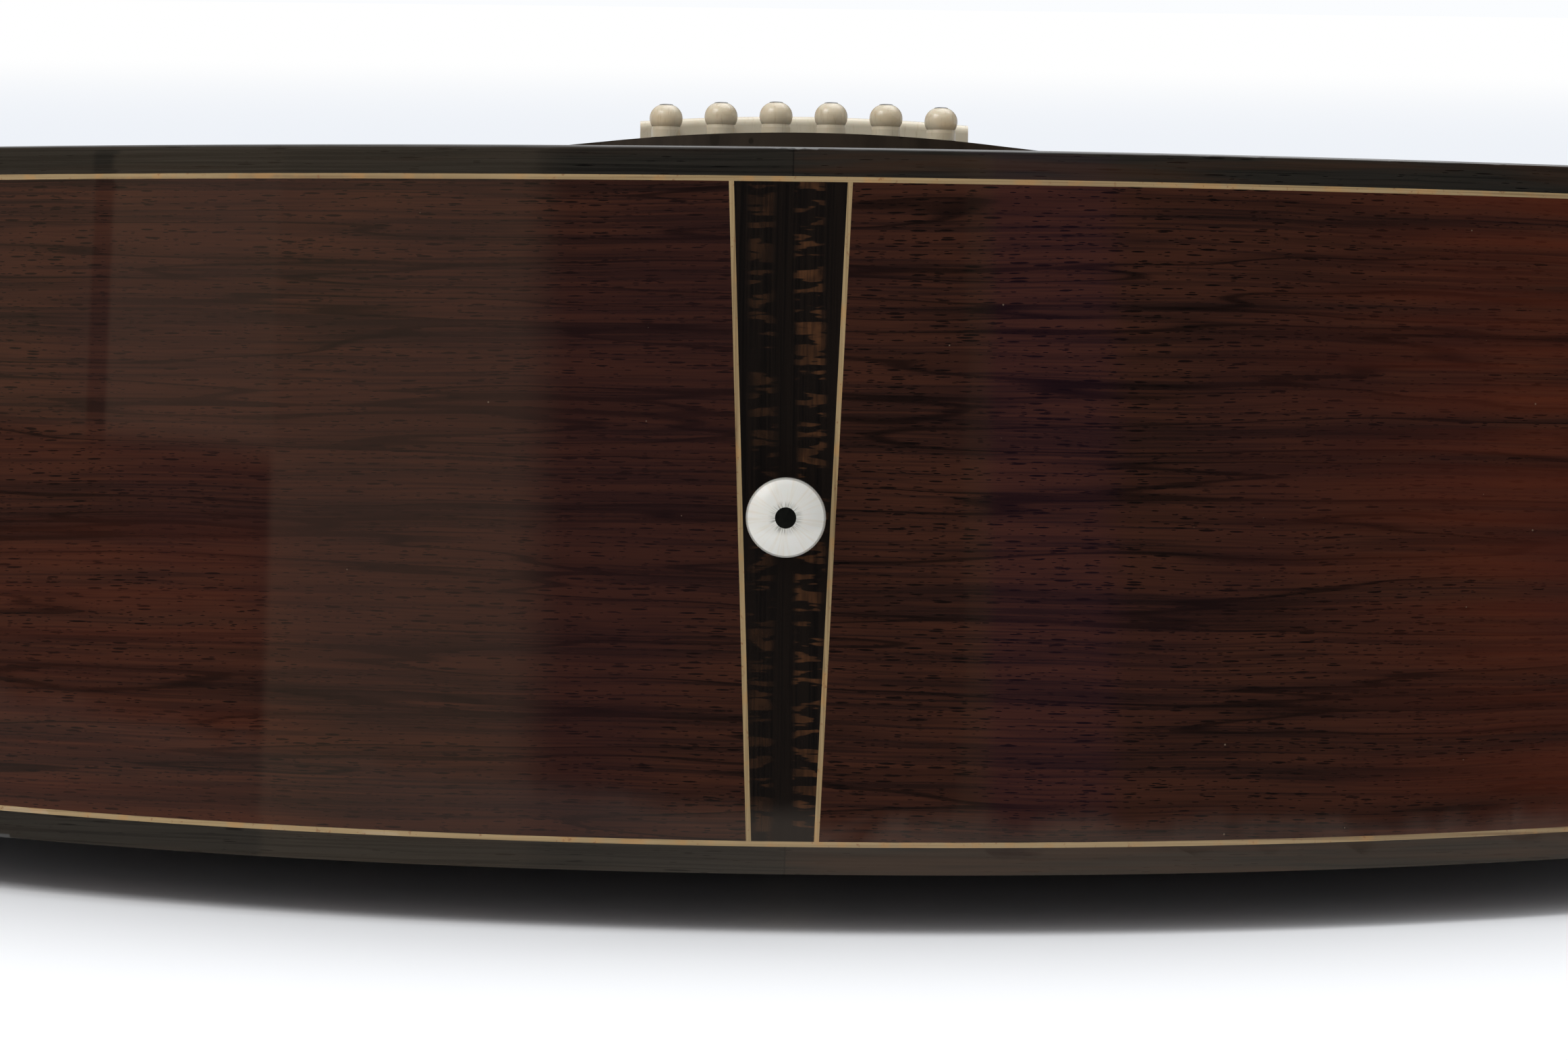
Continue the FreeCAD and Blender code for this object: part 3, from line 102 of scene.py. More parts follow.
def darker(colour, share):
    """The same colour with only this share of its light."""
    return tuple(part * share for part in colour[:3]) + (1.0,)


# How a finish is drawn


class Finish:
    """One finish: a shader, with the nodes that draw its grain, its colour and its small relief."""

    def __init__(self, name, **surface):
        self.material = bpy.data.materials.new(name)
        self.material.use_nodes = True
        self.tree = self.material.node_tree
        self.shader = self.tree.nodes["Principled BSDF"]
        for word, value in surface.items():
            self.shader.inputs[word.replace("_", " ")].default_value = value
        seen = self.tree.nodes.new("ShaderNodeTexCoord")
        turn = self.tree.nodes.new("ShaderNodeMapping")
        turn.inputs["Rotation"].default_value = (lie_angle, 0, 0)
        turn.inputs["Location"].default_value = guitar_shift
        self.join(seen.outputs["Object"], turn.inputs["Vector"])
        self.place = turn.outputs["Vector"]

    def join(self, source, target):
        """Links a socket to the target, or sets a plain value on it."""
        if isinstance(source, bpy.types.NodeSocket):
            self.tree.links.new(source, target)
        else:
            target.default_value = source

    def add(self, kind, *values, **settings):
        """A node with its settings, and its first inputs joined or set in order."""
        node = self.tree.nodes.new(kind)
        for word, value in settings.items():
            setattr(node, word, value)
        for value, target in zip(values, node.inputs):
            self.join(value, target)
        return node

    def sum(self, operation, *values, clamp=False):
        return self.add("ShaderNodeMath", *values, operation=operation, use_clamp=clamp).outputs[0]

    def times(self, *values):
        total = values[0]
        for value in values[1:]:
            total = self.sum("MULTIPLY", total, value)
        return total

    def plus(self, first, second):
        return self.sum("ADD", first, second)

    def minus(self, first, second):
        return self.sum("SUBTRACT", first, second)

    def axes(self, vector=None):
        return self.add("ShaderNodeSeparateXYZ", vector or self.place).outputs

    def scaled(self, across, along, through):
        """The axes of a grain, each a pair of its own coordinate and its rate in one metre."""
        rows = [self.times(spot, rate) for spot, rate in (across, along, through)]
        return self.add("ShaderNodeCombineXYZ", *rows).outputs[0]

    def noise(self, vector, scale=1.0, detail=3.0, rough=0.5, twist=0.0):
        node = self.add("ShaderNodeTexNoise", vector)
        settings = {"Scale": scale, "Detail": detail, "Roughness": rough, "Distortion": twist}
        for word, value in settings.items():
            node.inputs[word].default_value = value
        return node.outputs["Fac"]

    def cells(self, vector, scale=1.0):
        """Small cells, each with a random colour and the distance from its middle."""
        node = self.add("ShaderNodeTexVoronoi", vector)
        node.inputs["Scale"].default_value = scale
        return node.outputs

    def ramp(self, share, *stops):
        """Colours, or levels of grey, along the share: each stop is a place and what it shows there."""
        node = self.add("ShaderNodeValToRGB", share)
        bar = node.color_ramp.elements
        while len(bar) < len(stops):
            bar.new(0.5)
        for mark, (spot, colour) in zip(bar, stops):
            mark.position = spot
            mark.color = colour if hasattr(colour, "__len__") else (colour, colour, colour, 1)
        return node.outputs[0]

    def fade(self, value, start, end, clear=0.0, full=1.0):
        """From clear to full, softly, as the value goes from start to end."""
        node = self.add("ShaderNodeMapRange", value, start, end, clear, full, interpolation_type="SMOOTHSTEP")
        return node.outputs[0]

    def near(self, value, middle, outer, inner, full=1.0):
        """Full where the value is within inner of the middle, fading softly to nothing at outer."""
        return self.fade(self.sum("ABSOLUTE", self.minus(value, middle)), outer, inner, 0.0, full)

    def blend(self, share, first, second):
        """The first colour, going over into the second by the share."""
        node = self.tree.nodes.new("ShaderNodeMix")
        node.data_type = "RGBA"
        # The node's colour sockets come after those for numbers and vectors
        for value, target in ((share, node.inputs[0]), (first, node.inputs[6]), (second, node.inputs[7])):
            self.join(value, target)
        return node.outputs[2]

    def relief(self, height, distance, strength=1.0):
        node = self.tree.nodes.new("ShaderNodeBump")
        node.inputs["Strength"].default_value = strength
        node.inputs["Distance"].default_value = distance
        self.join(height, node.inputs["Height"])
        return node.outputs[0]

    def paint(self, **sockets):
        """Joins values to the shader's sockets, whose names are written here with _ for a space."""
        for word, value in sockets.items():
            self.join(value, self.shader.inputs[word.replace("_", " ")])
        return self.material

    def place_in_scene(self):
        return self.add("ShaderNodeNewGeometry").outputs["Position"]

    def shining(self, colour):
        """A shader that gives off this colour by itself."""
        node = self.add("ShaderNodeEmission")
        self.join(colour, node.inputs["Color"])
        return node.outputs[0]

    def cover(self, share, first, second):
        """Makes the surface the first shader, going over into the second by the share."""
        node = self.add("ShaderNodeMixShader", share, first, second)
        self.join(node.outputs[0], self.tree.nodes["Material Output"].inputs["Surface"])
        return self.material


# Grain layouts: each gives the directions across, along and through the grain.


def grain_round_the_rim(finish):
    x, y, z = finish.axes()
    return z, x, y


def grain_along_the_neck(finish):
    x, y, z = finish.axes()
    return x, y, z


def grain_of_matched_halves(finish):
    """Two sheets opened like a book about the middle line."""
    x, y, z = finish.axes()
    return finish.sum("ABSOLUTE", x), y, finish.times(z, 0.2)


def grain_up_the_wedge(finish):
    x, y, z = finish.axes()
    return x, z, y


def grain_across_the_body(finish):
    x, y, z = finish.axes()
    return y, x, z


def lacquered(rough=0.5, under=0.04):
    """Wood under clear polished lacquer. The lacquer carries the shine, so the wood under it has little."""
    return {"Roughness": rough, "Specular_IOR_Level": under, "Coat_Weight": 1.0, "Coat_Roughness": 0.025,
            "Coat_IOR": 1.5}


def bare(rough=0.75):
    return {"Roughness": rough, "Specular_IOR_Level": 0.3}


class Grain:
    """The bent coordinates of one plank: slow and quick waves, then streaks, lines and pores on them."""

    def __init__(self, finish, layout, slow_wave, quick_wave):
        self.finish = finish
        self.across, self.along, self.through = layout(finish)
        slow = finish.noise(finish.scaled((self.across, 9), (self.along, 5), (self.through, 5)), 1, 2)
        quick = finish.noise(finish.scaled((self.across, 60), (self.along, 26), (self.through, 26)), 1, 2)
        bent = finish.plus(self.across, finish.times(finish.minus(slow, 0.5), slow_wave))
        self.bent = finish.plus(bent, finish.times(finish.minus(quick, 0.5), quick_wave))

    def strip(self, rate, run, detail=3.0, rough=0.55, twist=0.0):
        """Noise drawn out along the grain: rate is across it and run is along it, both in one metre."""
        place = self.finish.scaled((self.bent, rate), (self.along, run), (self.through, run))
        return self.finish.noise(place, 1, detail, rough, twist)

    def pores(self, height, length, kept, size=0.3):
        """Short dark dashes along the grain, in the share kept of small cells."""
        finish = self.finish
        found = finish.cells(finish.scaled((self.bent, 1 / height), (self.along, 1 / length),
                                           (self.through, 1 / length)))
        chance = finish.add("ShaderNodeSeparateColor", found["Color"]).outputs
        reach = finish.sum("MULTIPLY_ADD", chance[0], size, size * 0.4)
        inside = finish.fade(finish.sum("DIVIDE", found["Distance"], reach), 1.15, 0.75)
        return finish.times(inside, finish.sum("LESS_THAN", chance[1], kept))


def wood(name, layout, pale, mid, dark, slow_wave=0.006, quick_wave=0.0012, bands=120, fibres=1500,
         run=3.0, ink=0, pore_share=0.0, pore_height=0.0006, pore_length=0.006, relief=0.00004, **surface):
    """A plank of wood, returned with its grain and colour so that a finish can go on from it."""
    finish = Finish(name, **surface)
    grain = Grain(finish, layout, slow_wave, quick_wave)
    broad = grain.strip(bands, run, 4, 0.6, 0.3)
    fine = grain.strip(fibres, 26, 3, 0.6)
    share = finish.plus(finish.times(broad, 0.52), finish.times(fine, 0.48))
    colour = finish.ramp(share, (0.34, dark), (0.46, mid), (0.56, pale), (0.66, mid))
    deep = darker(dark, 0.35)
    if ink:
        line = grain.strip(ink, run * 0.8, 2, 0.5, 0.25)
        thin = finish.near(line, 0.5, 0.022, 0.002, 0.75)
        band = finish.times(finish.fade(line, 0.50, 0.515), finish.fade(line, 0.58, 0.515, 0.0, 0.28))
        colour = finish.blend(finish.sum("MAXIMUM", thin, band), colour, deep)
    height = fine
    if pore_share:
        dashes = finish.sum("MAXIMUM", grain.pores(pore_height, pore_length, pore_share),
                            grain.pores(pore_height * 0.6, pore_length * 0.45, pore_share, 0.26))
        colour = finish.blend(finish.times(dashes, 0.9), colour, deep)
        height = finish.minus(fine, dashes)
    finish.paint(Base_Color=colour, Normal=finish.relief(height, relief, 0.3))
    return finish, grain, colour


# Finishes


def rosewood_of_the_sides():
    """Dark wood with wavy black lines, redder towards the treble side, with dust under the lacquer."""
    finish, grain, colour = wood(
        "rosewood_sides_lacquered", grain_round_the_rim, tone(60, 32, 21), tone(42, 22, 16), tone(26, 14, 11),
        bands=250, fibres=2300, run=8.0, ink=140, pore_share=0.5, pore_height=0.0005, pore_length=0.0042,
        **lacquered())
    x, y, z = finish.axes()
    cloud = finish.noise(finish.place, 11, 2, 0.5)
    treble = finish.fade(finish.plus(x, finish.times(finish.minus(cloud, 0.5), 0.08)), 0.07, 0.15, 0.0, 0.6)
    low_bass = finish.times(finish.fade(x, -0.07, -0.10), finish.fade(z, -0.03, -0.08), 0.2)
    streak = finish.ramp(grain.strip(260, 6, 3), (0.35, 0.1), (0.62, 1.0))
    warm = finish.times(finish.sum("MAXIMUM", treble, low_bass), streak)
    colour = finish.blend(warm, colour, tone(88, 36, 17))
    plum = finish.times(finish.fade(cloud, 0.52, 0.66), 0.35)
    colour = finish.blend(plum, colour, tone(40, 18, 20))
    found = finish.cells(finish.place, 330)
    chance = finish.add("ShaderNodeSeparateColor", found["Color"]).outputs
    size = finish.times(finish.sum("MULTIPLY_ADD", chance[1], 0.7, 0.3), 0.07)
    dust = finish.times(finish.fade(finish.sum("DIVIDE", found["Distance"], size), 1.1, 0.6),
                        finish.sum("LESS_THAN", chance[0], 0.09), 0.35)
    return finish.paint(Base_Color=finish.blend(dust, colour, tone(150, 132, 112)))


def plain_wood(name, layout, pale, mid, dark, **settings):
    return wood(name, layout, pale, mid, dark, **settings)[0].material


def rosewood_plain(name, layout, pale, mid, dark, ink=60, **settings):
    return plain_wood(name, layout, pale, mid, dark, ink=ink, pore_share=0.2, **lacquered(), **settings)


def rosewood_of_the_wedge():
    """Nearly black, upright grain, with brown blocks in a column right of the middle and a faint one left."""
    finish, grain, colour = wood("rosewood_wedge_lacquered", grain_up_the_wedge, tone(22, 16, 12),
                                 tone(15, 11, 9), tone(8, 7, 6), bands=420, fibres=2600,
                                 slow_wave=0.002, quick_wave=0.0004, **lacquered())
    x, y, z = finish.axes()
    rows = finish.fade(finish.noise(finish.scaled((x, 110), (z, 620), (y, 60)), 1, 2, 0.6), 0.50, 0.56)
    columns = finish.noise(finish.scaled((x, 1500), (z, 90), (y, 60)), 1, 2, 0.6)
    columns = finish.fade(columns, 0.40, 0.56, 0.6)
    drift = finish.times(finish.minus(finish.noise(finish.scaled((x, 0), (z, 22), (y, 0)), 1, 2), 0.5), 0.005)
    line = finish.plus(x, drift)
    right = finish.near(line, 0.0040, 0.0031, 0.0014)
    left = finish.times(finish.near(line, -0.0042, 0.0030, 0.0008), 0.4)
    figure = finish.times(finish.sum("MAXIMUM", right, left), rows, columns,
                          finish.fade(finish.noise(finish.place, 240, 2, 0.6), 0.38, 0.62, 0.5))
    return finish.paint(Base_Color=finish.blend(figure, colour, tone(70, 44, 26)))


def dark_binding():
    """Dark strips bent round the body, in two lengths that meet at the middle of the tail."""
    finish, grain, colour = wood("dark_binding_lacquered", grain_round_the_rim, tone(38, 35, 30),
                                 tone(28, 26, 22), tone(15, 14, 12), bands=420, fibres=2400,
                                 slow_wave=0.002, quick_wave=0.0008, pore_share=0.14,
                                 pore_height=0.0004, **lacquered())
    x, y, z = finish.axes()
    treble = finish.fade(x, binding_seam_x, binding_seam_x + 0.0002)
    brown = finish.times(finish.ramp(grain.strip(300, 14, 3), (0.46, 0.0), (0.62, 0.4)),
                         finish.sum("MULTIPLY_ADD", treble, 0.75, 0.25))
    colour = finish.blend(brown, colour, tone(64, 41, 26))
    seam = finish.times(finish.near(x, binding_seam_x, 0.00022, 0.00008, 0.45), finish.fade(y, 0.05, 0.02))
    return finish.paint(Base_Color=finish.blend(seam, colour, tone(8, 7, 6)))


def maple_line(name="maple_line_lacquered", layout=grain_round_the_rim):
    finish, grain, colour = wood(name, layout, tone(160, 136, 98), tone(141, 119, 84), tone(112, 88, 58),
                                 bands=900, fibres=3000, slow_wave=0.001, quick_wave=0.0004,
                                 **lacquered(0.45, 0.2))
    fleck = finish.fade(finish.noise(finish.place, 900, 3, 0.7), 0.60, 0.70, 0.0, 0.55)
    warm = finish.fade(finish.noise(finish.place, 260, 2, 0.5), 0.50, 0.70, 0.0, 0.35)
    colour = finish.blend(warm, colour, tone(176, 124, 66))
    return finish.paint(Base_Color=finish.blend(fleck, colour, tone(116, 68, 40)))


def spruce_of_the_top():
    """Year rings, tight at the middle and wider towards the edges, with silk across them."""
    finish = Finish("spruce_top_lacquered", **lacquered(0.5, 0.2))
    across, along, through = grain_of_matched_halves(finish)
    drift = finish.noise(finish.scaled((across, 6), (along, 2.5), (through, 0)), 1, 2)
    bent = finish.plus(across, finish.times(drift, 0.004))
    rings = finish.times(finish.sum("POWER", bent, 0.86), 2 * math.pi * 330)
    late = finish.sum("POWER", finish.sum("MULTIPLY_ADD", finish.sum("SINE", rings), 0.5, 0.5), 3.0)
    uneven = finish.noise(finish.scaled((bent, 260), (along, 1.5), (through, 0)), 1, 3, 0.6)
    late = finish.times(late, finish.sum("MULTIPLY_ADD", uneven, 1.5, -0.15, clamp=True))
    fibre = finish.noise(finish.scaled((bent, 2600), (along, 26), (through, 0)), 1, 2, 0.6)
    silk = finish.noise(finish.scaled((across, 60), (along, 420), (through, 0)), 1, 2, 0.5)
    cloud = finish.noise(finish.scaled((across, 9), (along, 4), (through, 0)), 1, 2, 0.5)
    colour = finish.ramp(late, (0.0, tone(222, 186, 130)), (0.5, tone(206, 164, 106)),
                         (1.0, tone(170, 122, 70)))
    colour = finish.blend(finish.times(fibre, 0.28), colour, tone(234, 204, 152))
    colour = finish.blend(finish.times(silk, 0.18), colour, tone(238, 212, 164))
    colour = finish.blend(finish.fade(cloud, 0.45, 0.75, 0.0, 0.3), colour, tone(206, 158, 100))
    return finish.paint(Base_Color=colour, Normal=finish.relief(late, 0.00002, 0.2))


def kerfed_lining():
    """Small blocks side by side, cut nearly through so that the strip bends round the rim. The saw cuts are
    sunk in the relief and painted dark as painted shade in the gaps.
    """
    finish, grain, colour = wood("lining_kerfed", grain_round_the_rim, tone(168, 116, 76), tone(146, 96, 60),
                                 tone(112, 70, 42), **bare())
    x, y, z = finish.axes()
    turn = finish.sum("ARCTAN2", finish.minus(y, 0.25), x)
    step = finish.sum("PINGPONG", finish.times(turn, 100), 1.0)
    # Where the saw cuts are: sunk in the relief and painted dark, which is painted shade
    cut_with_painted_shade = finish.fade(step, 0.14, 0.05)
    finish.paint(Normal=finish.relief(finish.minus(1.0, cut_with_painted_shade), 0.0012, 1.0))
    return finish.paint(Base_Color=finish.blend(finish.times(cut_with_painted_shade, 0.9), colour, tone(34, 18, 10)))


def marquetry_strip():
    """Small slanting blocks of dark and pale wood along the middle seam of the back."""
    finish, grain, colour = wood("center_strip_marquetry", grain_along_the_neck, tone(190, 160, 114),
                                 tone(168, 138, 94), tone(136, 104, 66), bands=900, fibres=3000,
                                 **lacquered(0.45, 0.2))
    x, y, z = finish.axes()
    slant = finish.plus(y, finish.times(finish.sum("ABSOLUTE", x), 0.9))
    step = finish.sum("PINGPONG", finish.times(slant, 520), 1.0)
    colour = finish.blend(finish.fade(step, 0.46, 0.54), colour, tone(42, 24, 16))
    edge = finish.fade(finish.sum("ABSOLUTE", x), 0.0022, 0.00225)
    return finish.paint(Base_Color=finish.blend(edge, colour, tone(18, 14, 12)))


def rosette_rings():
    """Fine black and pale lines, with a herringbone band between them."""
    finish, grain, colour = wood("rosette_rings", grain_along_the_neck, tone(206, 182, 138),
                                 tone(188, 162, 116), tone(160, 132, 90), bands=700, fibres=3000,
                                 **lacquered(0.45, 0.2))
    x, y, z = finish.axes()
    back = finish.minus(y, soundhole_y)
    reach = finish.sum("SQRT", finish.plus(finish.times(x, x), finish.times(back, back)))
    turn = finish.sum("ARCTAN2", back, x)
    middle = finish.sum("ABSOLUTE", finish.minus(reach, rosette_band_radius))
    slant = finish.plus(finish.times(turn, 46), finish.times(middle, 520))
    chevron = finish.fade(finish.sum("PINGPONG", slant, 1.0), 0.44, 0.56)
    edge = 0.00005
    band = finish.fade(middle, rosette_band_half_width + edge, rosette_band_half_width - edge)
    colour = finish.blend(finish.times(chevron, band), colour, tone(38, 24, 16))
    for radius in rosette_line_radii:
        colour = finish.blend(finish.near(reach, radius, 0.00022, 0.00014), colour, tone(16, 13, 12))
    return finish.paint(Base_Color=colour)


def polished_bone(name="bone_polished", pale=(214, 204, 182), mid=(204, 192, 166), dark=(188, 172, 142)):
    finish = Finish(name, Roughness=0.3, Coat_Weight=0.4, Coat_Roughness=0.06, Subsurface_Weight=0.06,
                    Subsurface_Scale=0.001)
    x, y, z = finish.axes()
    cloud = finish.noise(finish.place, 120, 3, 0.6)
    fleck = finish.noise(finish.scaled((x, 2400), (y, 900), (z, 260)), 1, 2, 0.6)
    colour = finish.ramp(cloud, (0.30, tone(*mid)), (0.52, tone(*pale)), (0.75, tone(*mid)))
    colour = finish.blend(finish.fade(fleck, 0.56, 0.72, 0.0, 0.45), colour, tone(*dark))
    finish.paint(Base_Color=colour, Roughness=finish.ramp(cloud, (0.3, 0.24), (0.7, 0.36)))
    return finish.material


def bone_of_the_end_pin():
    """Turned bone, with faint cream rays out of the middle and dark hairs round the dot."""
    finish = Finish("bone_end_pin_polished", Roughness=0.24, Coat_Weight=0.8, Coat_Roughness=0.03,
                    Subsurface_Weight=0.06, Subsurface_Scale=0.001)
    x, y, z = finish.axes()
    up = finish.minus(z, end_pin_drop)
    turn = finish.sum("ARCTAN2", up, x)
    reach = finish.sum("SQRT", finish.plus(finish.times(x, x), finish.times(up, up)))
    rays = finish.noise(finish.scaled((turn, 9), (reach, 90), (y, 0)), 1, 3, 0.6)
    hairs = finish.noise(finish.scaled((turn, 17), (reach, 300), (y, 0)), 1, 2, 0.6)
    colour = finish.blend(finish.fade(rays, 0.46, 0.66, 0.0, 0.4), tone(211, 209, 202), tone(204, 192, 170))
    shade = finish.times(finish.fade(reach, 0.0032, 0.0019, 0.0, 0.75), finish.fade(hairs, 0.42, 0.62))
    colour = finish.blend(shade, colour, tone(110, 108, 100))
    return finish.paint(Base_Color=colour, Normal=finish.relief(rays, 0.00001, 0.1))


def plated(name, colour, rough, rates=(900, 60, 900), wear=0.25):
    """Metal with fine drawn hairs, a soft uneven tone and thin wear."""
    finish = Finish(name, Metallic=1.0)
    x, y, z = finish.axes()
    hair = finish.noise(finish.scaled((x, rates[0]), (y, rates[1]), (z, rates[2])), 1, 3, 0.7)
    cloud = finish.noise(finish.place, 140, 4, 0.6)
    finish.paint(Base_Color=finish.blend(finish.times(cloud, wear), colour, darker(colour, 0.55)),
                 Roughness=finish.ramp(hair, (0.3, rough * 0.7), (0.7, rough * 1.4)),
                 Normal=finish.relief(hair, 0.000006, 0.25))
    return finish.material


def wound_wire():
    """Bronze wire wound round a core: turns close together along the string, darker in the grooves between
    turns as painted shade.
    """
    finish = Finish("bronze_wound", Metallic=1.0)
    x, y, z = finish.axes()
    turns_and_groove_shade = finish.sum("PINGPONG", finish.times(finish.plus(y, finish.times(z, 0.6)), 4200), 1.0)
    cloud = finish.noise(finish.place, 200, 3, 0.6)
    # Dark in the grooves and light on the crests of the turns: painted shade
    colour = finish.blend(finish.fade(turns_and_groove_shade, 0.0, 0.7), tone(112, 76, 42), tone(210, 162, 104))
    finish.paint(Base_Color=finish.blend(finish.times(cloud, 0.35), colour, tone(150, 104, 62)),
                 Roughness=finish.ramp(cloud, (0.3, 0.24), (0.7, 0.38)),
                 Normal=finish.relief(turns_and_groove_shade, 0.0001, 0.6))
    return finish.material


def tortoise_guard():
    finish = Finish("tortoise_guard", Roughness=0.18, Coat_Weight=0.7, Coat_Roughness=0.03)
    swirl = finish.noise(finish.place, 26, 3, 0.55, 1.6)
    spots = finish.noise(finish.place, 70, 4, 0.6, 0.8)
    both = finish.plus(finish.times(swirl, 0.65), finish.times(spots, 0.35))
    colour = finish.ramp(both, (0.36, tone(14, 7, 5)), (0.48, tone(40, 15, 8)), (0.57, tone(96, 38, 14)),
                         (0.68, tone(150, 78, 26)))
    return finish.paint(Base_Color=colour, Normal=finish.relief(spots, 0.00002, 0.1))


def pearl_shell():
    finish = Finish("pearl_shell", Roughness=0.16, Coat_Weight=0.6, Coat_Roughness=0.05)
    x, y, z = finish.axes()
    wave = finish.noise(finish.scaled((x, 160), (y, 420), (z, 160)), 1, 4, 0.6, 1.2)
    colour = finish.ramp(wave, (0.32, tone(196, 214, 214)), (0.46, tone(232, 228, 218)),
                         (0.56, tone(222, 204, 214)), (0.68, tone(190, 208, 222)))
    return finish.paint(Base_Color=colour, Normal=finish.relief(wave, 0.00003, 0.3))


def black_inlay():
    finish = Finish("black_inlay_polished", Roughness=0.2, Coat_Weight=0.4, Coat_Roughness=0.05)
    grit = finish.noise(finish.place, 1600, 3, 0.6)
    colour = finish.ramp(grit, (0.35, tone(9, 10, 8)), (0.65, tone(18, 19, 16)))
    return finish.paint(Base_Color=colour, Normal=finish.relief(grit, 0.000004, 0.2))


# Finishes on the pieces

rosewood_back = rosewood_plain("rosewood_back_lacquered", grain_of_matched_halves, tone(74, 38, 25),
                               tone(50, 26, 18), tone(27, 14, 10), bands=70, fibres=1300, ink=42)
rosewood_head = rosewood_plain("rosewood_head_lacquered", grain_along_the_neck, tone(58, 31, 22),
                               tone(40, 21, 15), tone(22, 12, 9))
rosewood_cap = rosewood_plain("rosewood_heel_cap", grain_across_the_body, tone(62, 34, 23),
                              tone(42, 22, 16), tone(24, 13, 10))
brace_wood = plain_wood("spruce_brace_bare", grain_along_the_neck, tone(226, 196, 146), tone(212, 178, 126),
                        tone(186, 146, 94), bands=240, **bare())
back_brace_wood = plain_wood("spruce_back_brace_bare", grain_across_the_body, tone(222, 190, 140),
                             tone(206, 172, 120), tone(180, 142, 92), bands=240, **bare())
block_wood = plain_wood("mahogany_block_bare", grain_round_the_rim, tone(150, 92, 58), tone(126, 74, 46),
                        tone(92, 50, 30), pore_share=0.25, **bare(0.7))
neck_wood = plain_wood("mahogany_neck_satin", grain_along_the_neck, tone(112, 60, 36), tone(92, 47, 28),
                       tone(64, 31, 19), bands=90, pore_share=0.3, pore_length=0.008, Roughness=0.42,
                       Specular_IOR_Level=0.2, Coat_Weight=0.7, Coat_Roughness=0.14, Coat_IOR=1.5)
bridge_wood = plain_wood("ebony_bridge_oiled", grain_across_the_body, tone(36, 31, 27), tone(26, 22, 20),
                         tone(14, 12, 11), pore_share=0.2, Roughness=0.46, Specular_IOR_Level=0.35)
board_wood = plain_wood("ebony_fingerboard_oiled", grain_along_the_neck, tone(38, 32, 27), tone(27, 23, 20),
                        tone(15, 13, 11), pore_share=0.2, Roughness=0.44, Specular_IOR_Level=0.35)
plate_wood = plain_wood("maple_plate_bare", grain_across_the_body, tone(222, 198, 156), tone(206, 180, 136),
                        tone(180, 150, 108), **bare(0.7))
bone = polished_bone()
pin_bone = polished_bone("bone_bridge_pins", (204, 192, 168), (194, 180, 152), (172, 156, 126))
nickel = plated("nickel_plate", tone(214, 208, 196), 0.2)
fret_nickel = plated("nickel_fret_polished", tone(206, 202, 194), 0.16, (60, 900, 900), 0.15)
steel = plated("steel_turned", tone(178, 178, 180), 0.3)
brass = plated("brass_gear", tone(204, 166, 98), 0.26, (900, 900, 60), 0.4)
plain_wire = plated("steel_string_plain", tone(196, 194, 190), 0.2, (900, 40, 900), 0.15)
bronze_wire = wound_wire()
pearl = pearl_shell()
inlay = black_inlay()

dressed = (
    (rosewood_of_the_sides(), "side_bass", "side_treble"),
    (rosewood_back, "back"),
    (rosewood_head, "headplate"),
    (rosewood_cap, "heel_cap"),
    (rosewood_of_the_wedge(), "tail_wedge"),
    (dark_binding(), "top_binding", "back_binding"),
    (maple_line(), "purfling_lines"),
    (maple_line("maple_wedge_line_lacquered", grain_up_the_wedge), "tail_wedge_lines"),
    (marquetry_strip(), "back_center_strip"),
    (spruce_of_the_top(), "soundboard"),
    (brace_wood, "x_braces", "soundboard_braces"),
    (back_brace_wood, "back_braces"),
    (kerfed_lining(), "kerfed_linings"),
    (block_wood, "neck_block", "tail_block"),
    (neck_wood, "neck"),
    (board_wood, "fingerboard"),
    (bridge_wood, "bridge"),
    (plate_wood, "bridge_plate"),
    (rosette_rings(), "rosette"),
    (bone, "saddle", "nut"),
    (bone_of_the_end_pin(), "end_pin"),
    (inlay, "end_pin_dot"),
    (tortoise_guard(), "pickguard"),
    (pearl, "position_dots"),
    (fret_nickel, "frets"),
    (nickel, "tuner_plates", "tuner_screws", "tuner_bushings"),
    (steel, "truss_rod", "truss_rod_nut"),
    (bronze_wire, "strings"),
)
dressed_in_sixes = (
    (pin_bone, "bridge_pin"),
    (nickel, "tuner_button"),
    (nickel, "tuner_post"),
    (brass, "tuner_gear"),
)


def dress(node_name, material):
    mesh = nodes[node_name].data
    mesh.materials.clear()
    mesh.materials.append(material)


for material, *names in dressed:
    for name in names:
        dress(name, material)
for material, name in dressed_in_sixes:
    for number in range(1, string_count + 1):
        dress(f"{name}_{number}", material)


# Pieces made here


def wake(piece):
    """Only this piece is selected and active."""
    bpy.ops.object.select_all(action="DESELECT")
    piece.select_set(True)
    bpy.context.view_layer.objects.active = piece


def own_copy(node_name, name):
    """A merged copy of a node, free of the node's marks, that a piece can be made from."""
    piece = nodes[node_name].copy()
    piece.data = nodes[node_name].data.copy()
    for mark in list(piece.keys()):
        del piece[mark]
    piece.name = name
    bpy.context.scene.collection.objects.link(piece)
    wake(piece)
    bpy.ops.object.mode_set(mode="EDIT")
    bpy.ops.mesh.select_all(action="SELECT")
    bpy.ops.mesh.customdata_custom_splitnormals_clear()
    bpy.ops.mesh.remove_doubles(threshold=0.000001)
    bpy.ops.object.mode_set(mode="OBJECT")
    bpy.ops.object.shade_smooth_by_angle(angle=math.radians(32))
    return piece


def finished(piece, name, material, body):
    """Names and dresses a piece made here, and says which body carries it."""
    piece.name = name
    piece.data.name = name
    piece.data.materials.clear()
    piece.data.materials.append(material)
    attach(piece, body)
    return piece


def tail_end_of(piece):
    """How long a piece is, and where it lies across the guitar in its last stretch towards the tail."""
    spots = [vertex.co for vertex in piece.data.vertices]
    nearest = min(spot.y for spot in spots)
    last = [spot.x for spot in spots if spot.y < nearest + tail_stretch]
    return max(spot.y for spot in spots) - nearest, sum(last) / len(last)


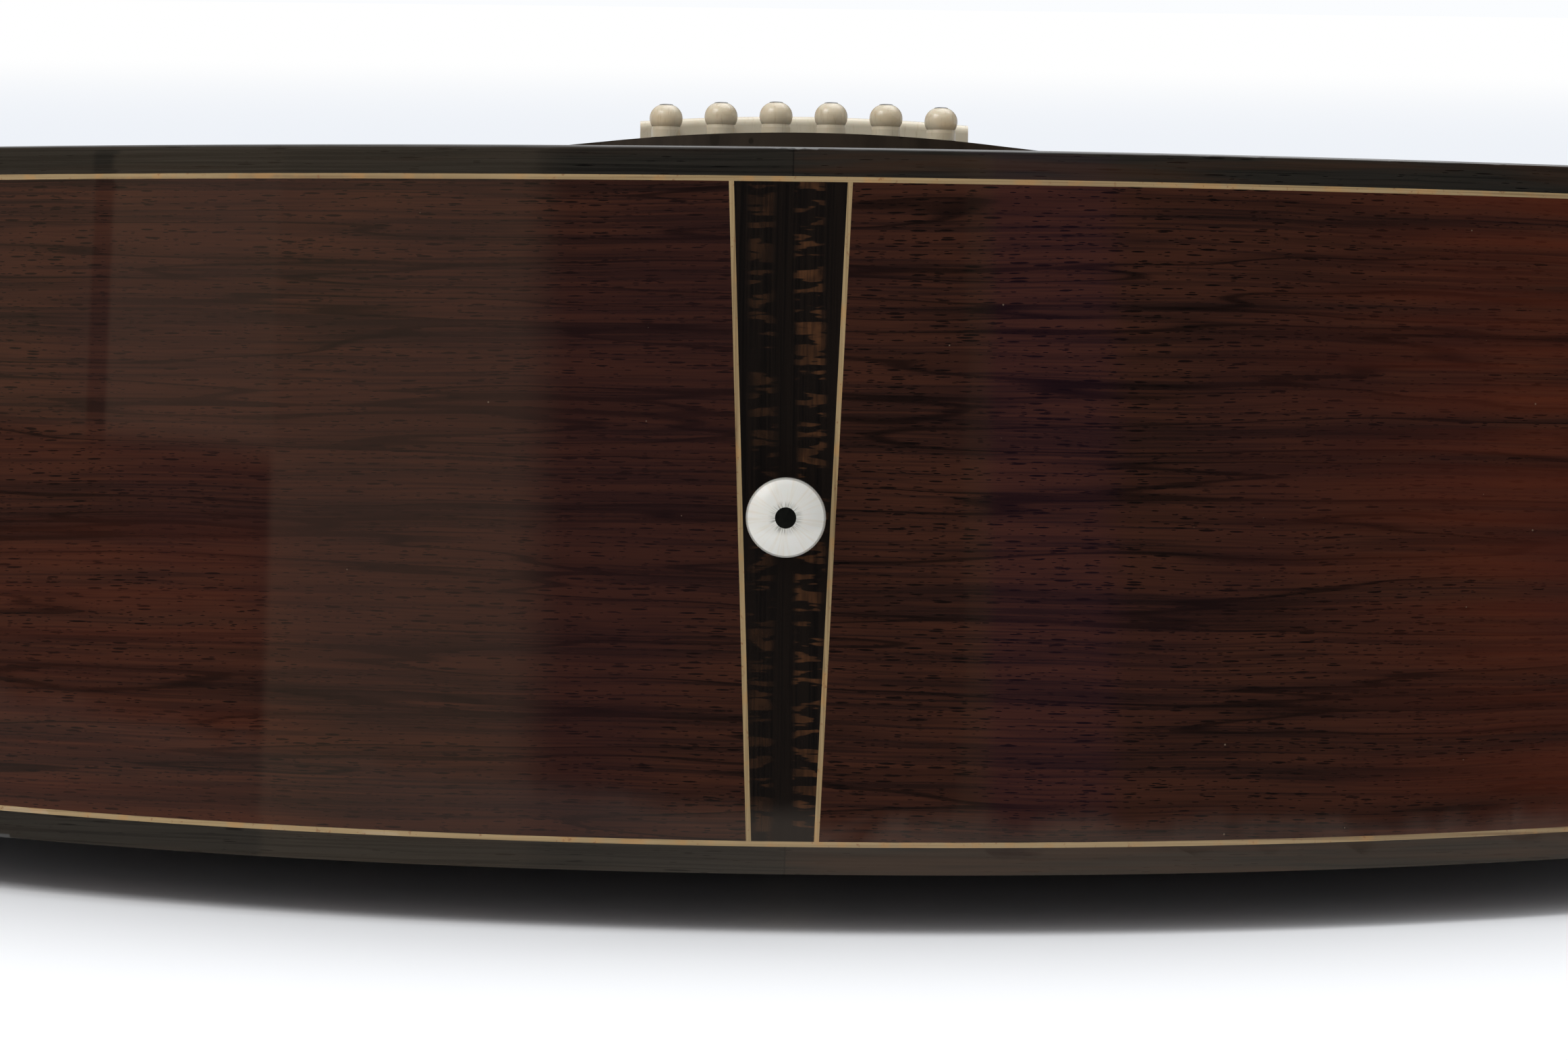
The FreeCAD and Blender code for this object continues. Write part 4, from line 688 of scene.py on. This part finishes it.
def strings_apart():
    """The six strings and their ball ends, each a piece of its own: four wound, two plain, brass balls."""
    own_copy("strings", "strings_together")
    bpy.ops.object.mode_set(mode="EDIT")
    bpy.ops.mesh.select_all(action="SELECT")
    bpy.ops.mesh.separate(type="LOOSE")
    bpy.ops.object.mode_set(mode="OBJECT")
    wires, balls = [], []
    for piece in bpy.context.selected_objects:
        length, across = tail_end_of(piece)
        (wires if length > shortest_wire else balls).append((across, piece))
    for number, (across, piece) in enumerate(sorted(wires, key=lambda pair: pair[0]), 1):
        wire = bronze_wire if number <= wound_strings else plain_wire
        finished(piece, f"string_{number}", wire, "guitar")
        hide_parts("strings")
    for number, (across, piece) in enumerate(sorted(balls, key=lambda pair: pair[0]), 1):
        finished(piece, f"string_ball_{number}", brass, "guitar")
        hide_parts("strings")


def set_in_place(piece, place, outward):
    """Lays a piece modelled flat at the middle of the scene onto its place, facing outward."""
    turn = outward.to_track_quat("Z", "Y").to_matrix().to_4x4()
    piece.data.transform(Matrix.Translation(place) @ turn)
    return piece


def domed_disc(radius, depth, rise, sides=40):
    """A thin turned disc with an eased rim and a low dome, its face at height 0 at the rim."""
    bpy.ops.object.select_all(action="DESELECT")
    bpy.ops.mesh.primitive_cylinder_add(vertices=sides, radius=radius, depth=depth,
                                        location=(0, 0, -depth / 2))
    disc = bpy.context.object
    bpy.ops.object.mode_set(mode="EDIT")
    bpy.ops.mesh.select_all(action="DESELECT")
    bpy.ops.object.mode_set(mode="OBJECT")
    for face in disc.data.polygons:
        face.select = face.normal.z > 0.9
    bpy.ops.object.mode_set(mode="EDIT")
    bpy.ops.mesh.inset(thickness=radius * flat_rim_share)
    for inward, lift in dome_step_shares:
        bpy.ops.transform.translate(value=(0, 0, rise * lift))
        bpy.ops.mesh.inset(thickness=radius * inward)
    bpy.ops.object.mode_set(mode="OBJECT")
    bpy.ops.object.shade_smooth_by_angle(angle=math.radians(40))
    return disc


def dots_of_the_bridge_pins():
    """A black dot let into the head of each bridge pin, a little proud."""
    upward = lie.to_3x3() @ Vector((0, 0, 1))
    middle = (string_count + 1) / 2
    for number in range(1, string_count + 1):
        pin_name = f"bridge_pin_{number}"
        top = max((to_guitar @ vertex.co + guitar_shift).z for vertex in nodes[pin_name].data.vertices)
        place = laid((number - middle) * pin_spacing, pin_row_y, top + pin_dot_lift)
        dot = set_in_place(domed_disc(pin_dot_radius, pin_dot_depth, pin_dot_dome), place, upward)
        finished(dot, f"bridge_pin_dot_{number}", inlay, pin_name)


def side_dots():
    """Small pale dots on the bass edge of the fingerboard, two at the octave, for the player's eye."""
    inward = lie.to_3x3() @ Vector((1, 0, 0))
    number = 0
    for fret in side_dot_frets:
        middle = (2 ** (-(fret - 1) / 12) + 2 ** (-fret / 12)) / 2
        for shift in (-octave_half_gap, octave_half_gap) if fret == octave_fret else (0,):
            y = nut_y - scale_length * (1 - middle) + shift
            height = side_dot_height - math.tan(neck_angle) * (y - body_joint_y)
            start = laid(beside_the_neck, y, height)
            hit, edge, outward, face = nodes["fingerboard"].ray_cast(start, inward)
            if hit:
                number += 1
                disc = domed_disc(side_dot_radius, side_dot_depth, side_dot_dome, side_dot_edges)
                dot = set_in_place(disc, edge + outward * side_dot_lift, outward)
                finished(dot, f"side_dot_{number}", pearl, "guitar")


strings_apart()
dots_of_the_bridge_pins()
side_dots()


# Floor, room, light and camera

# Camera: millimetres for its sensor and lens, metres and radians for the rest
sensor_width = 36
lens_length = 159.85
nearest_seen = 0.05
farthest_seen = 200
camera_place = (0.01381, -1.69265, 0.16242)
camera_yaw = math.radians(0.689)
camera_pitch = math.radians(4.507)
camera_roll = math.radians(0.689)

# Floor and sky: each reach is where a change starts and where it ends, from the middle of the floor
floor_width = 80
cloth_end_reach = (0.56, 1.05)
horizon_reach = (5.0, 12.0)
near_white = (0.86, 0.89, 0.94, 1)
sky_tone = (0.965, 0.98, 1.0, 1)
sky_light = 0.62
lamps_aim = Vector((0, 0, 0.1))

# The wall that glows with painted reflections of a dim room, in metres
room_half_width = 0.45
room_half_length = 0.72
room_height = 0.66
room_lift = 0.002
room_wall_faces = 192
room_top_height = (0.42, 0.62)
window_sill_height = (0.083, 0.091)
cloth_sheen_height = (0.0255, 0.0185)

# The painted reflections that the wall shows, in turns from the camera's side, in radians, with the bass side
# negative
window_near_edge = (-0.15, -0.19)
corner_edge = (-0.345, -0.353)
pane_near_edge = (-0.344, -0.354)
pane_far_edge = (-0.47, -0.45)
past_the_pane = (-0.45, -0.49)
window_bar = -0.464
thin_glow = 0.125
plum_near_edge = (0.12, 0.14)
plum_far_edge = (0.23, 0.20)
# Colours of the painted reflections: the dim room, a window, a plum patch, the cloth's sheen and light from
# the sides
dim_tone = (0.012, 0.010, 0.010, 1)
window_tone = (0.42, 0.31, 0.21, 1)
plum_tone = (0.068, 0.018, 0.068, 1)
cloth_sheen_tone = (0.60, 0.50, 0.42, 1)
side_light_tone = (0.78, 0.80, 0.84, 1)


def seen_rays(tree):
    """1 for what the camera, a gloss or a clear piece shows, and 0 for light on the way to the object."""
    rays = tree.nodes.new("ShaderNodeLightPath")
    total = rays.outputs["Is Camera Ray"]
    for word in ("Is Glossy Ray", "Is Transmission Ray"):
        node = tree.nodes.new("ShaderNodeMath")
        node.operation = "ADD"
        node.use_clamp = True
        tree.links.new(total, node.inputs[0])
        tree.links.new(rays.outputs[word], node.inputs[1])
        total = node.outputs[0]
    return total


def pale_cloth():
    """Pale cloth that goes over into a white background away from the guitar."""
    finish = Finish("pale_cloth", Base_Color=tone(249, 250, 252), Roughness=0.95, Specular_IOR_Level=0.1)
    weave = finish.noise(finish.place, 900, 2, 0.6)
    finish.paint(Normal=finish.relief(weave, 0.00006, 0.2))
    place = finish.place_in_scene()
    reach = finish.add("ShaderNodeVectorMath", place, operation="LENGTH").outputs["Value"]
    far = finish.fade(reach, *horizon_reach)
    white = finish.shining(finish.ramp(far, (0.0, near_white), (1.0, (1, 1, 1, 1))))
    share = finish.times(finish.fade(reach, *cloth_end_reach), seen_rays(finish.tree))
    return finish.cover(share, finish.shader.outputs[0], white)


def window_light(finish, turn, z):
    """How much of a painted window reflection each spot of the wall shows, with its pane, bar and dark lower
    corner.
    """
    high = finish.fade(z, *window_sill_height)
    window = finish.fade(turn, *window_near_edge, 0.0, 0.8)
    pane = finish.times(finish.fade(turn, *pane_near_edge), finish.fade(turn, *pane_far_edge))
    window = finish.times(window, finish.plus(1.0, finish.times(pane, high, 0.3)),
                          finish.fade(turn, *past_the_pane, 1.0, 0.8))
    window = finish.times(window, finish.minus(1.0, finish.near(turn, window_bar, 0.008, 0.004, 0.7)))
    corner = finish.times(finish.fade(turn, *corner_edge), finish.minus(1.0, high))
    return finish.times(window, finish.minus(1.0, finish.times(corner, 0.95)))


def painted_reflection_room():
    """A glowing wall that the lacquer mirrors, painted with reflections: a dim room round the guitar, lighter
    towards a window on the bass side.
    """
    finish = Finish("painted_reflection_wall")
    place = finish.place_in_scene()
    x, y, z = finish.axes(place)
    turn = finish.sum("ARCTAN2", x, finish.times(y, -1.0))
    window = window_light(finish, turn, z)
    glow = finish.near(turn, thin_glow, 0.014, 0.004, 0.2)
    plum = finish.times(finish.fade(turn, *plum_near_edge), finish.fade(turn, *plum_far_edge))
    colour = finish.blend(plum, dim_tone, plum_tone)
    colour = finish.blend(finish.sum("MAXIMUM", window, glow), colour, window_tone)
    ripple = finish.times(finish.minus(finish.noise(place, 40, 3, 0.6), 0.5), 0.008)
    lower = finish.plus(finish.plus(z, ripple), finish.times(turn, 0.020))
    # Painted reflection of the cloth's sheen, low on the wall and weaker towards the bass side
    foot = finish.times(finish.fade(lower, *cloth_sheen_height), finish.fade(turn, -0.3, 0.1, 0.35, 1.0))
    colour = finish.blend(foot, colour, cloth_sheen_tone)
    # Painted reflection of light from the sides, low on the wall
    aside = finish.times(finish.fade(finish.sum("ABSOLUTE", turn), 0.65, 1.0), finish.fade(z, 0.34, 0.0))
    colour = finish.blend(aside, colour, side_light_tone)
    clear = finish.add("ShaderNodeBsdfTransparent").outputs[0]
    # The wall glows with these painted reflections and is clear above its top
    return finish.cover(finish.fade(z, *room_top_height), finish.shining(colour), clear)


def put_on_stage(piece, name, material):
    """Names and dresses a piece of the studio, which isn't part of the guitar."""
    piece.name = name
    piece.data.materials.append(material)
    return piece


def lay_floor():
    bpy.ops.object.select_all(action="DESELECT")
    bpy.ops.mesh.primitive_plane_add(size=floor_width, location=(0, 0, 0))
    put_on_stage(bpy.context.object, "floor", pale_cloth())


def put_up_room():
    """The oval wall that glows with painted reflections, open at the top, which only mirrored rays meet."""
    bpy.ops.object.select_all(action="DESELECT")
    bpy.ops.mesh.primitive_cylinder_add(
        vertices=room_wall_faces, radius=1.0, depth=room_height, location=(0, 0, room_height / 2 + room_lift),
        scale=(room_half_width, room_half_length, 1.0), end_fill_type="NOTHING")
    room = put_on_stage(bpy.context.object, "painted_reflection_room", painted_reflection_room())
    room.visible_camera = False
    room.visible_diffuse = False
    room.visible_shadow = False
    room.visible_transmission = False


def soft_lamp(name, place, width, power):
    """A square lamp of this width in metres and power in watts, turned to the guitar."""
    lamp = bpy.data.lights.new(name, "AREA")
    lamp.shape = "RECTANGLE"
    lamp.size = width
    lamp.size_y = width
    lamp.energy = power
    holder = bpy.data.objects.new(name, lamp)
    holder.location = place
    holder.rotation_euler = (lamps_aim - Vector(place)).to_track_quat("-Z", "Y").to_euler()
    bpy.context.scene.collection.objects.link(holder)


def light_the_sky():
    """A white world that shows at full strength and lights the guitar a little less."""
    world = bpy.data.worlds.new("studio")
    bpy.context.scene.world = world
    world.use_nodes = True
    sky = world.node_tree.nodes["Background"]
    sky.inputs["Color"].default_value = sky_tone
    level = world.node_tree.nodes.new("ShaderNodeMapRange")
    level.inputs["To Min"].default_value = sky_light
    level.inputs["To Max"].default_value = 1.0
    world.node_tree.links.new(seen_rays(world.node_tree), level.inputs["Value"])
    world.node_tree.links.new(level.outputs["Result"], sky.inputs["Strength"])


def set_up_camera():
    camera_data = bpy.data.cameras.new("photo_camera")
    camera_data.sensor_width = sensor_width
    camera_data.lens = lens_length
    camera_data.clip_start = nearest_seen
    camera_data.clip_end = farthest_seen
    camera = bpy.data.objects.new("photo_camera", camera_data)
    bpy.context.scene.collection.objects.link(camera)
    flat = math.cos(camera_pitch)
    ahead = Vector((-math.sin(camera_yaw) * flat, math.cos(camera_yaw) * flat, -math.sin(camera_pitch)))
    level_right = Vector((math.cos(camera_yaw), math.sin(camera_yaw), 0))
    level_up = level_right.cross(ahead)
    right = math.cos(camera_roll) * level_right + math.sin(camera_roll) * level_up
    upward = -math.sin(camera_roll) * level_right + math.cos(camera_roll) * level_up
    aim = Matrix((right, upward, -ahead)).transposed().to_4x4()
    camera.matrix_world = Matrix.Translation(camera_place) @ aim
    bpy.context.scene.camera = camera


lay_floor()
put_up_room()
soft_lamp("window", (-1.8, -1.6, 2.3), 1.6, 44)
soft_lamp("sky_panel", (0.6, 0.6, 2.8), 2.4, 38)
light_the_sky()
set_up_camera()
bpy.context.scene.view_settings.view_transform = "Standard"
